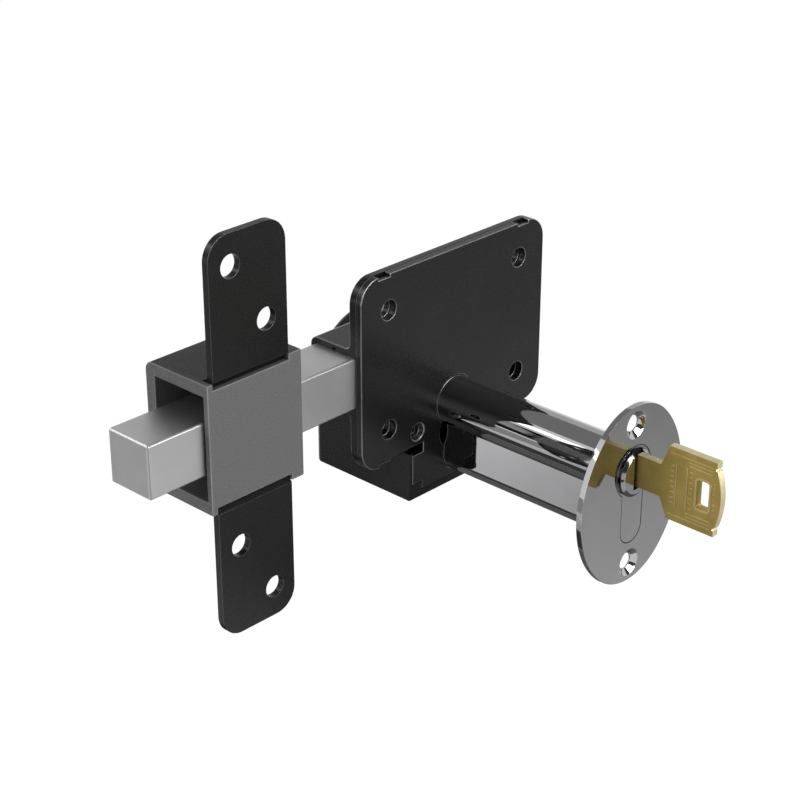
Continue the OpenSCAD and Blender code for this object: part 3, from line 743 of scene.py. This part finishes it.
BLACK_PLATE = PowderCoat(
    "black_plate_paint",
    colour=(0.0045, 0.0045, 0.0046),
    faded=(0.0065, 0.0065, 0.0067),
    roughness=(0.26, 0.34),
)
BLACK_EAR = PowderCoat(
    "black_ear_paint",
    colour=(0.0035, 0.0035, 0.0035),
    faded=(0.005, 0.005, 0.005),
    roughness=(0.26, 0.34),
    gloss=0.4,
)
BLACK_CASE = PowderCoat(
    "black_case_paint",
    colour=(0.0035, 0.0035, 0.0036),
    faded=(0.0055, 0.0055, 0.0056),
    roughness=(0.22, 0.3),
    gloss=0.36,
)
# Metal on the ears' edges: partly rubbed paint, partly a painted highlight of the lit edges
EAR_EDGE_WEAR_AND_HIGHLIGHT = PowderCoat(
    "black_rubbed_edge_and_painted_highlight",
    colour=(0.13, 0.13, 0.133),
    faded=(0.08, 0.08, 0.082),
    roughness=(0.26, 0.36),
    metal=1.0,
    peel_mm=0.004,
)
# Bright metal on the plate's and case's edges: partly worn paint, partly a painted highlight of the
# lit edges
PLATE_EDGE_WEAR_AND_HIGHLIGHT = PowderCoat(
    "black_worn_edge_and_painted_highlight",
    colour=(0.35, 0.35, 0.355),
    faded=(0.23, 0.23, 0.235),
    roughness=(0.3, 0.4),
    metal=1.0,
    peel_mm=0.004,
)
GREY_KEEPER = PowderCoat(
    "sandy_grey_paint",
    colour=(0.098, 0.098, 0.1),
    faded=(0.142, 0.142, 0.144),
    roughness=(0.6, 0.74),
    gloss=0.06,
    patch_scale=2300.0,
    peel_mm=0.16,
    peel_scale=1500.0,
    sparkle=0.7,
)
# Lighter grey on the keeper's edges: partly rubbed paint, partly a painted highlight of the lit
# edges
KEEPER_EDGE_WEAR_AND_HIGHLIGHT = PowderCoat(
    "grey_rubbed_edge_and_painted_highlight",
    colour=(0.19, 0.19, 0.195),
    faded=(0.15, 0.15, 0.155),
    roughness=(0.36, 0.46),
    peel_mm=0.03,
)
# Near-black for the keyway's mouth and the escutcheon's profile hole: painted shade in the gaps
PAINTED_SHADE_BLACK = PowderCoat(
    "painted_shade_black_slot",
    colour=(0.002, 0.002, 0.002),
    faded=(0.004, 0.004, 0.004),
    roughness=(0.4, 0.5),
    gloss=0.3,
)
BOLT_STEEL = SatinSteel(
    "drawn_bolt_steel",
    colour=(0.655, 0.655, 0.655),
    worn=(0.61, 0.61, 0.615),
    roughness=(0.38, 0.43),
    line_mm=0.0014,
)
BOLT_EDGE = SatinSteel(
    "worn_bolt_edge",
    colour=(0.72, 0.72, 0.72),
    worn=(0.68, 0.68, 0.68),
    roughness=(0.3, 0.36),
    line_mm=0.0008,
)
MECHANISM_STEEL = SatinSteel(
    "turned_mechanism_steel",
    colour=(0.32, 0.32, 0.33),
    worn=(0.24, 0.24, 0.25),
)
BARREL_CHROME = PolishedChrome(
    "polished_barrel_chrome",
    colour=(0.5, 0.5, 0.51),
    haze=(0.47, 0.47, 0.48),
    roughness=(0.03, 0.07),
)
RIM_CHROME = PolishedChrome(
    "polished_rim_chrome",
    colour=(0.62, 0.62, 0.63),
    haze=(0.58, 0.58, 0.59),
    roughness=(0.06, 0.1),
)
# Dark chrome on the collar's round wall: a painted dark reflection
COLLAR_DARK_REFLECTION = PolishedChrome(
    "collar_chrome_painted_dark_reflection",
    colour=(0.085, 0.085, 0.088),
    haze=(0.065, 0.065, 0.067),
    roughness=(0.05, 0.09),
)
# Dimmer chrome on the collar's chamfer: a painted reflection
CHAMFER_PAINTED_REFLECTION = PolishedChrome(
    "chamfer_chrome_painted_reflection",
    colour=(0.3, 0.3, 0.305),
    haze=(0.27, 0.27, 0.275),
    roughness=(0.1, 0.14),
)
KEY_BRASS = SatinBrass(
    "stamped_key_brass",
    colour=(0.575, 0.435, 0.14),
    tarnish=(0.47, 0.355, 0.1),
    roughness=(0.4, 0.52),
)
# Brighter brass on the key's edges: partly wear, partly a painted highlight of the lit edges
KEY_EDGE_WEAR_AND_HIGHLIGHT = SatinBrass(
    "worn_key_edge_and_painted_highlight",
    colour=(0.88, 0.76, 0.44),
    tarnish=(0.76, 0.63, 0.32),
    roughness=(0.28, 0.38),
    grain_mm=0.002,
)
# Brighter brass on the bow's raised lines: a painted highlight
KEY_RELIEF_HIGHLIGHT = SatinBrass(
    "key_relief_painted_highlight",
    colour=(0.74, 0.59, 0.26),
    tarnish=(0.62, 0.48, 0.19),
    roughness=(0.34, 0.44),
    grain_mm=0.003,
)
# Pale brass on the bow's end and on the bow's and shank's tops: a painted highlight
KEY_END_AND_TOP_HIGHLIGHT = SatinBrass(
    "key_end_and_top_painted_highlight",
    colour=(0.95, 0.85, 0.56),
    tarnish=(0.9, 0.79, 0.48),
    roughness=(0.42, 0.5),
    grain_mm=0.0004,
)


@dataclass(frozen=True)
class FacePatch:
    """Faces of a piece whose centres lie in a box and that take a finish of their own."""

    finish: Finish
    x_mm: Span
    y_mm: Span
    z_mm: Span

    def holds(self, centre: Vector) -> bool:
        """Tells whether a face's centre lies in the box."""
        spans = (self.x_mm, self.y_mm, self.z_mm)
        return all(low * MM <= value <= high * MM for (low, high), value in zip(spans, centre))

    def paint(self, piece: bpy.types.Object, effects: EffectLibrary) -> None:
        """Gives the chosen faces their finish.

        Args:
            piece: the piece to paint on.
            effects: the shared node groups.
        """
        piece.data.materials.append(self.finish.material(effects))
        slot = len(piece.data.materials) - 1
        for face in piece.data.polygons:
            if self.holds(face.center):
                face.material_index = slot


@dataclass
class DressedNode:
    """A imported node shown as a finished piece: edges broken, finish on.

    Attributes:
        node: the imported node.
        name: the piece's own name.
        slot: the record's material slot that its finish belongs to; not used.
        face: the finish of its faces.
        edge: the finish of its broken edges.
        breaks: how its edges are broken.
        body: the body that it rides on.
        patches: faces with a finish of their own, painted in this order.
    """

    node: str
    name: str
    slot: str
    face: Finish
    edge: Finish
    breaks: EdgeBreak
    body: str = "lock"
    patches: tuple[FacePatch, ...] = ()

    def build(self, effects: EffectLibrary) -> None:
        """Makes the piece and puts it in the node's place.

        Args:
            effects: the shared node groups.
        """
        piece = copy_of_node(self.node, self.name)
        piece.data.materials.append(self.face.material(effects))
        piece.data.materials.append(self.edge.material(effects))
        self.breaks.round_edges(piece)
        for patch in self.patches:
            patch.paint(piece, effects)
        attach(piece, self.body)
        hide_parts(self.node)
        LOG.info("%s stands for %s with %d faces", self.name, self.node, len(piece.data.polygons))


class SubAssembly:
    """Pieces that belong together; each sub-assembly lists its own."""

    def pieces(self) -> tuple[DressedNode, ...]:
        """Gives the pieces in the order of their making."""
        raise NotImplementedError

    def build(self, effects: EffectLibrary) -> None:
        """Builds every piece.

        Args:
            effects: the shared node groups.
        """
        for piece in self.pieces():
            piece.build(effects)


@dataclass
class CaseAndBolt(SubAssembly):
    """The front plate, the case behind it and the square bolt in its channel.

    Attributes:
        painted_breaks: the broken edges of plate and case.
        bolt_breaks: the bolt's broken edges.
    """

    painted_breaks: EdgeBreak = PAINTED_BREAK
    bolt_breaks: EdgeBreak = FINE_BREAK

    def pieces(self) -> tuple[DressedNode, ...]:
        """Gives plate, case and bolt.

        Returns:
            The pieces in the order of their making.
        """
        return (
            DressedNode(
                node="front_plate",
                name="front_plate_shell",
                slot="plate_paint",
                face=BLACK_PLATE,
                edge=PLATE_EDGE_WEAR_AND_HIGHLIGHT,
                breaks=self.painted_breaks,
            ),
            DressedNode(
                node="lock_case",
                name="lock_case_shell",
                slot="case_paint",
                face=BLACK_CASE,
                edge=PLATE_EDGE_WEAR_AND_HIGHLIGHT,
                breaks=self.painted_breaks,
            ),
            DressedNode(
                node="bolt",
                name="bolt_bar_shell",
                body="bolt_bar",
                slot="bolt_steel",
                face=BOLT_STEEL,
                edge=BOLT_EDGE,
                breaks=self.bolt_breaks,
            ),
        )


@dataclass
class Cylinder(SubAssembly):
    """The profile cylinder with its two plugs, and the escutcheon round its outer end.

    Attributes:
        turned_breaks: the broken edges of body and escutcheon.
        plug_breaks: the plugs' broken edges.
        collar_mm: the outer plug's collar, to both sides of the axis.
        collar_side_y_mm: the collar's round wall along the axis.
        collar_chamfer_y_mm: the collar's chamfer along the axis.
        mouth_x_mm: width of the keyway's mouth in the plug's face.
        mouth_y_mm: depth of that mouth.
        mouth_z_mm: height of that mouth.
        hole_x_mm: width of the escutcheon's profile hole.
        hole_y_mm: the hole's wall along the axis.
        hole_z_mm: height of that hole.
    """

    turned_breaks: EdgeBreak = FINE_BREAK
    plug_breaks: EdgeBreak = HAIR_BREAK
    collar_mm: Span = (-8.1, 8.1)
    collar_side_y_mm: Span = (-74.45, -73.55)
    collar_chamfer_y_mm: Span = (-75.37, -74.46)
    mouth_x_mm: Span = (-1.95, 1.95)
    mouth_y_mm: Span = (-75.35, -73.8)
    mouth_z_mm: Span = (-5.5, 8.3)
    hole_x_mm: Span = (-9.2, 9.2)
    hole_y_mm: Span = (-73.39, -71.5)
    hole_z_mm: Span = (-26.0, 9.2)

    def collar_reflection_and_mouth_shade_patches(self) -> tuple[FacePatch, ...]:
        """Gives the painted dark reflection on the collar's wall, the painted reflection on its
        chamfer and the painted shade in the keyway's mouth.

        Returns:
            The patches in the order of their painting.
        """
        collar = self.collar_mm
        return (
            FacePatch(COLLAR_DARK_REFLECTION, collar, self.collar_side_y_mm, collar),
            FacePatch(CHAMFER_PAINTED_REFLECTION, collar, self.collar_chamfer_y_mm, collar),
            # Painted shade in the keyway's mouth
            FacePatch(PAINTED_SHADE_BLACK, self.mouth_x_mm, self.mouth_y_mm, self.mouth_z_mm),
        )

    def hole_shade_patch(self) -> FacePatch:
        """Gives the painted shade on the wall of the escutcheon's profile hole."""
        return FacePatch(PAINTED_SHADE_BLACK, self.hole_x_mm, self.hole_y_mm, self.hole_z_mm)

    def pieces(self) -> tuple[DressedNode, ...]:
        """Gives the cylinder's body, its plugs and the escutcheon.

        Returns:
            The pieces in the order of their making.
        """
        return (
            DressedNode(
                node="cylinder_body",
                name="cylinder_barrel",
                slot="cylinder_chrome",
                face=BARREL_CHROME,
                edge=RIM_CHROME,
                breaks=self.turned_breaks,
            ),
            DressedNode(
                node="outer_plug",
                name="outer_plug_turned",
                body="plug",
                slot="plug_chrome",
                face=BARREL_CHROME,
                edge=RIM_CHROME,
                breaks=self.plug_breaks,
                patches=self.collar_reflection_and_mouth_shade_patches(),
            ),
            DressedNode(
                node="inner_plug",
                name="inner_plug_turned",
                slot="plug_chrome",
                face=BARREL_CHROME,
                edge=RIM_CHROME,
                breaks=self.plug_breaks,
            ),
            DressedNode(
                node="escutcheon",
                name="escutcheon_pressed",
                slot="escutcheon_chrome",
                face=BARREL_CHROME,
                edge=RIM_CHROME,
                breaks=self.turned_breaks,
                patches=(self.hole_shade_patch(),),
            ),
        )


@dataclass
class StampedKey(SubAssembly):
    """The key, with raised lines on both sides of its bow, and painted highlights on those lines, on
    the bow's end and on the tops.

    Attributes:
        breaks: the key's broken edges.
        relief_out_mm: the raised lines' tops, out from the key's middle plane.
        relief_y_mm: length of the bow's field with raised lines.
        relief_z_mm: height of that field.
        end_x_mm: thickness of the bow's end between its edge breaks.
        end_y_mm: the bow's end along the key.
        end_z_mm: height of the bow's end.
        top_x_mm: thickness of the bow's top and the shank's top.
        bow_top_y_mm: the bow's top along the key.
        bow_top_z_mm: height of the bow's top.
        shank_top_y_mm: the shank's top along the key.
        shank_top_z_mm: height of the shank's top.
    """

    breaks: EdgeBreak = HAIR_BREAK
    relief_out_mm: Span = (1.37, 1.5)
    relief_y_mm: Span = (-104.8, -84.0)
    relief_z_mm: Span = (-9.6, 13.6)
    end_x_mm: Span = (-0.9, 0.9)
    end_y_mm: Span = (-107.0, -102.6)
    end_z_mm: Span = (-12.0, 15.0)
    top_x_mm: Span = (-1.4, 1.4)
    bow_top_y_mm: Span = (-105.0, -86.0)
    bow_top_z_mm: Span = (13.0, 15.0)
    shank_top_y_mm: Span = (-88.0, -72.0)
    shank_top_z_mm: Span = (6.5, 7.2)

    def patches(self) -> tuple[FacePatch, ...]:
        """Gives the painted highlights on the raised lines of both sides, on the bow's end and on
        the tops.

        Returns:
            The patches in the order of their painting.
        """
        low, high = self.relief_out_mm
        return (
            # Painted highlight on the raised lines of both sides
            FacePatch(KEY_RELIEF_HIGHLIGHT, (-high, -low), self.relief_y_mm, self.relief_z_mm),
            FacePatch(KEY_RELIEF_HIGHLIGHT, (low, high), self.relief_y_mm, self.relief_z_mm),
            # Painted highlight on the bow's end and on the bow's and shank's tops
            FacePatch(KEY_END_AND_TOP_HIGHLIGHT, self.end_x_mm, self.end_y_mm, self.end_z_mm),
            FacePatch(KEY_END_AND_TOP_HIGHLIGHT, self.top_x_mm, self.bow_top_y_mm, self.bow_top_z_mm),
            FacePatch(KEY_END_AND_TOP_HIGHLIGHT, self.top_x_mm, self.shank_top_y_mm, self.shank_top_z_mm),
        )

    def pieces(self) -> tuple[DressedNode, ...]:
        """Gives the key."""
        return (
            DressedNode(
                node="key",
                name="key_stamped",
                body="key",
                slot="key_brass",
                face=KEY_BRASS,
                edge=KEY_EDGE_WEAR_AND_HIGHLIGHT,
                breaks=self.breaks,
                patches=self.patches(),
            ),
        )


@dataclass
class Keeper(SubAssembly):
    """The keeper's box and its two ears.

    Attributes:
        box_breaks: the box's broken edges.
        ear_breaks: the ears' broken edges.
        bend_x_mm: width of the lower ear's bend under the box's front wall.
        bend_y_mm: depth of that bend.
        bend_z_mm: height of that bend.
    """

    box_breaks: EdgeBreak = PAINTED_BREAK
    ear_breaks: EdgeBreak = FINE_BREAK
    bend_x_mm: Span = (-104.0, -72.0)
    bend_y_mm: Span = (-0.3, 1.5)
    bend_z_mm: Span = (-9.0, -2.1)

    def bend_shade_patch(self) -> FacePatch:
        """Gives the lower ear's bend under the box, whose edges take the face paint as painted
        shade.
        """
        return FacePatch(BLACK_EAR, self.bend_x_mm, self.bend_y_mm, self.bend_z_mm)

    def pieces(self) -> tuple[DressedNode, ...]:
        """Gives the box and both ears.

        Returns:
            The pieces in the order of their making.
        """
        return (
            DressedNode(
                node="keeper_housing",
                name="keeper_box",
                slot="keeper_paint",
                face=GREY_KEEPER,
                edge=KEEPER_EDGE_WEAR_AND_HIGHLIGHT,
                breaks=self.box_breaks,
            ),
            DressedNode(
                node="keeper_upper_ear",
                name="upper_ear",
                slot="plate_paint",
                face=BLACK_EAR,
                edge=EAR_EDGE_WEAR_AND_HIGHLIGHT,
                breaks=self.ear_breaks,
            ),
            DressedNode(
                node="keeper_lower_ear",
                name="lower_ear",
                slot="plate_paint",
                face=BLACK_EAR,
                edge=EAR_EDGE_WEAR_AND_HIGHLIGHT,
                breaks=self.ear_breaks,
                # The bend's edges are darkened as painted shade under the box
                patches=(self.bend_shade_patch(),),
            ),
        )


@dataclass
class HiddenMechanism:
    """The inner pieces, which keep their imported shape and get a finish."""

    steel_nodes: tuple[str, ...] = (
        "cog_cam",
        "cam_clutch",
        "outer_plug_clip",
        "inner_plug_clip",
        "outer_pin_springs",
        "inner_pin_springs",
        "cylinder_screw",
    )
    brass_nodes: tuple[str, ...] = (
        "outer_key_pins",
        "outer_driver_pins",
        "inner_key_pins",
        "inner_driver_pins",
        "chamber_plugs",
    )

    def build(self, effects: EffectLibrary) -> None:
        """Gives the inner pieces steel and brass finishes.

        Args:
            effects: the shared node groups.
        """
        for nodes, finish in ((self.steel_nodes, MECHANISM_STEEL), (self.brass_nodes, KEY_BRASS)):
            for name in nodes:
                mesh = FRAME["nodes"][name].data
                mesh.materials.clear()
                mesh.materials.append(finish.material(effects))
                LOG.info("%s is dressed in %s", name, finish.name)


@dataclass
class SoftLamp:
    """A rectangular lamp that faces a point of the object.

    Attributes:
        name: the lamp's name.
        place: its middle.
        target: the point that it faces.
        width: its width.
        height: its height.
        watts: its power.
        in_mirrors: whether reflections show it.
    """

    name: str
    place: Place
    target: Place
    width: float
    height: float
    watts: float
    in_mirrors: bool = True

    def build(self) -> None:
        """Adds the lamp to the scene."""
        clear_selection()
        bpy.ops.object.light_add(type="AREA", location=self.place)
        lamp = bpy.context.active_object
        lamp.name = self.name
        lamp.data.shape = "RECTANGLE"
        lamp.data.size = self.width
        lamp.data.size_y = self.height
        lamp.data.energy = self.watts
        lamp.visible_glossy = self.in_mirrors
        aim = Vector(self.target) - Vector(self.place)
        lamp.rotation_euler = aim.to_track_quat("-Z", "Y").to_euler()


@dataclass
class MirrorCard:
    """A grey card that only reflections see, as a photographer places it to shade chrome.

    Attributes:
        name: the card's name.
        place: its middle.
        facing: the direction that it faces.
        size: its width and height.
        glow: its brightness, or that of its left edge.
        far_glow: the brightness of its right edge, if it differs.
        turn_deg: how far it is turned in its own plane.
    """

    name: str
    place: Place
    facing: Place
    size: Span
    glow: float
    far_glow: float | None = None
    turn_deg: float = 0.0

    def _paint(self) -> bpy.types.Material:
        """Makes a glow that runs from one brightness to the other along the card's width.

        Returns:
            The card's material.
        """
        paint, sheet = new_material(self.name)
        place = sheet.add("ShaderNodeTexCoord").outputs["Object"]
        apart = sheet.add("ShaderNodeSeparateXYZ")
        sheet.link(place, apart.inputs["Vector"])
        far_glow = self.glow if self.far_glow is None else self.far_glow
        level = sheet.span(apart.outputs["X"], -0.5, 0.5, self.glow, far_glow)
        emission = sheet.add("ShaderNodeEmission")
        sheet.link(level, emission.inputs["Strength"])
        sheet.show(emission.outputs["Emission"])
        return paint

    def build(self) -> None:
        """Adds the card to the stage, where only reflections see it."""
        clear_selection()
        bpy.ops.mesh.primitive_plane_add(size=1.0, location=self.place)
        card = bpy.context.active_object
        card.name = self.name
        card.scale = (*self.size, 1.0)
        turn = Quaternion((0.0, 0.0, 1.0), math.radians(self.turn_deg))
        card.rotation_euler = (Vector(self.facing).to_track_quat("Z", "Y") @ turn).to_euler()
        card.data.materials.append(self._paint())
        card.visible_camera = False
        card.visible_diffuse = False
        card.visible_shadow = False


@dataclass
class Studio:
    """Floor, world, lamps, cards and camera of the picture.

    Attributes:
        floor_drop: depth of the floor below the cylinder's axis.
        floor_half: half the floor's side.
        card_gap: height between the floor and the cards that lie on it, and between two cards.
        target: the point that camera and lamps look at.
        azimuth_deg: the camera's direction round the object.
        elevation_deg: the camera's height as an angle.
        distance: from the camera to the target.
        focal_px: the camera's focal length in pixels of the picture.
        frame_px: the picture's width in pixels.
        sensor_mm: the camera's sensor width.
        clip: nearest and farthest distance that the camera sees.
        paper: the floor's colour.
        ambient: the world's light on everything but camera and mirrors.
        shadow_share: how much of the floor's own shading the camera sees.
        floor_glow: brightness of the rest.
    """

    floor_drop: float = 0.12
    floor_half: float = 6.0
    card_gap: float = 0.001
    target: Place = (-0.02578, 0.0, 0.00868)
    azimuth_deg: float = -46.4
    elevation_deg: float = 25.61
    distance: float = 0.62109
    focal_px: float = 1963.9
    frame_px: float = 800.0
    sensor_mm: float = 36.0
    clip: Span = (0.01, 50.0)
    paper: Colour = (0.8, 0.8, 0.8)
    ambient: float = 0.24
    shadow_share: float = 0.15
    floor_glow: float = 1.12

    @staticmethod
    def _mirror_share(sheet: NodeSheet, low: float, high: float) -> Socket:
        """Tells camera and mirror rays from the rest.

        Args:
            sheet: the material's or world's sheet.
            low: value for every other ray.
            high: value for camera, glossy and transmission rays.

        Returns:
            The value's socket.
        """
        path = sheet.add("ShaderNodeLightPath")
        seen = sheet.math("ADD", path.outputs["Is Camera Ray"], path.outputs["Is Glossy Ray"])
        seen = sheet.math("ADD", seen, path.outputs["Is Transmission Ray"])
        return sheet.span(seen, 0.0, 1.0, low, high)

    def _world(self) -> None:
        """White to the camera and in reflections, a softer grey as ambient light."""
        world = bpy.data.worlds.new("studio_world")
        world.use_nodes = True
        world.node_tree.nodes.clear()
        bpy.context.scene.world = world
        sheet = NodeSheet(world.node_tree)
        back = sheet.add("ShaderNodeBackground")
        back.inputs["Color"].default_value = (1.0, 1.0, 1.0, 1.0)
        sheet.link(self._mirror_share(sheet, self.ambient, 1.0), back.inputs["Strength"])
        sheet.show(back.outputs["Background"], "ShaderNodeOutputWorld")

    def _floor(self) -> None:
        """A pale floor that is white to the camera and keeps a soft shadow."""
        clear_selection()
        place = (0.0, 0.0, -self.floor_drop)
        bpy.ops.mesh.primitive_plane_add(size=2 * self.floor_half, location=place)
        floor = bpy.context.active_object
        floor.name = "studio_floor"
        paper, sheet = new_material("floor_paper")
        matt = sheet.add("ShaderNodeBsdfDiffuse")
        matt.inputs["Color"].default_value = input_value(self.paper)
        glow = sheet.add("ShaderNodeEmission")
        glow.inputs["Strength"].default_value = self.floor_glow
        mix = sheet.add("ShaderNodeMixShader")
        share = self._mirror_share(sheet, 0.0, 1.0 - self.shadow_share)
        sheet.link(share, mix.inputs["Fac"])
        sheet.link(matt.outputs["BSDF"], mix.inputs[1])
        sheet.link(glow.outputs["Emission"], mix.inputs[2])
        sheet.show(mix.outputs["Shader"])
        floor.data.materials.append(paper)

    def _lamps(self) -> None:
        """A broad lamp in front, one on the left and a strip behind for the chrome's bright line."""
        aim = self.target
        lamps = (
            SoftLamp("lamp_front", (0.3, -1.4, 0.5), aim, width=0.8, height=0.8, watts=22.0),
            SoftLamp(
                "lamp_left",
                (-1.3, 0.1, 0.3),
                aim,
                width=0.6,
                height=0.5,
                watts=8.0,
                in_mirrors=False,
            ),
            SoftLamp("lamp_strip", (-0.75, 0.7, 0.72), aim, width=0.9, height=0.16, watts=1.2),
        )
        for lamp in lamps:
            lamp.build()

    def _floor_cards(self) -> tuple[MirrorCard, ...]:
        """Gives the cards that lie on the floor, one over another where they cross.

        Returns:
            The cards.
        """
        up = (0.0, 0.0, 1.0)
        low = -self.floor_drop + self.card_gap
        second = low + self.card_gap
        third = low + 2 * self.card_gap
        top = low + 3 * self.card_gap
        return (
            MirrorCard("card_floor_right", (0.55, -0.62, low), up, (1.1, 1.1), 0.3),
            MirrorCard(
                "card_floor_slope",
                (0.233, -0.233, second),
                up,
                (0.3, 0.3),
                0.18,
                far_glow=0.54,
                turn_deg=-45.0,
            ),
            MirrorCard("card_floor_front", (-0.5, -0.55, low), up, (1.0, 1.0), 0.95),
            MirrorCard("card_floor_near", (-0.27, -0.2, second), up, (0.34, 0.22), 0.02),
            MirrorCard("card_floor_side", (-0.31, -0.01, third), up, (0.2, 0.14), 1.0),
            MirrorCard("card_floor_left", (-0.5, 0.35, low), up, (0.86, 1.0), 0.38),
            MirrorCard(
                "card_floor_tail",
                (-0.17, 0.06, second),
                up,
                (0.14, 0.22),
                0.85,
                far_glow=0.35,
                turn_deg=90.0,
            ),
            MirrorCard("card_floor_gap", (-0.095, 0.03, top), up, (0.07, 0.26), 0.06),
            MirrorCard("card_floor_under", (0.06, 0.03, low), up, (0.24, 0.34), 0.14),
        )

    def _standing_cards(self) -> tuple[MirrorCard, ...]:
        """Gives the cards over, behind, before and to the left of the object.

        Returns:
            The cards.
        """
        return (
            MirrorCard("card_over", (0.15, 0.25, 0.95), (-0.1, -0.25, -0.9), (1.6, 1.2), 0.27),
            MirrorCard("card_behind", (0.75, 0.75, 0.55), (-0.7, -0.7, -0.45), (1.2, 0.8), 0.62),
            MirrorCard("card_high", (-0.6, -0.9, 1.7), (0.3, 0.45, -0.85), (2.4, 1.6), 0.3),
            MirrorCard("card_front", (0.0, -1.6, 1.2), (0.0, 0.86, -0.5), (4.8, 3.2), 0.08),
            MirrorCard(
                "card_dark_left", (-0.652, 0.766, 0.2), (0.78, -0.62, -0.2), (0.51, 0.26), 0.01
            ),
        )

    def _camera(self) -> None:
        """Puts the camera where the photograph was taken from."""
        azimuth = math.radians(self.azimuth_deg)
        elevation = math.radians(self.elevation_deg)
        back = Vector(
            (
                math.sin(azimuth) * math.cos(elevation),
                -math.cos(azimuth) * math.cos(elevation),
                math.sin(elevation),
            )
        )
        clear_selection()
        bpy.ops.object.camera_add(location=Vector(self.target) + back * self.distance)
        camera = bpy.context.active_object
        camera.name = "photo_camera"
        camera.rotation_euler = (-back).to_track_quat("-Z", "Y").to_euler()
        camera.data.sensor_width = self.sensor_mm
        camera.data.lens = self.focal_px / self.frame_px * self.sensor_mm
        camera.data.clip_start, camera.data.clip_end = self.clip
        bpy.context.scene.camera = camera

    def build(self) -> None:
        """Sets up the whole studio."""
        self._world()
        self._floor()
        self._lamps()
        for card in self._floor_cards() + self._standing_cards():
            card.build()
        self._camera()
        bpy.context.scene.view_settings.view_transform = "Standard"
        LOG.info("studio is set up")


def main() -> None:
    """Builds every sub-assembly in order, then the studio."""
    logging.basicConfig(level=logging.INFO, format="%(name)s: %(message)s")
    effects = EffectLibrary()
    for part in (CaseAndBolt(), Cylinder(), StampedKey(), Keeper(), HiddenMechanism()):
        part.build(effects)
    Studio().build()


if __name__ == "__main__":
    main()
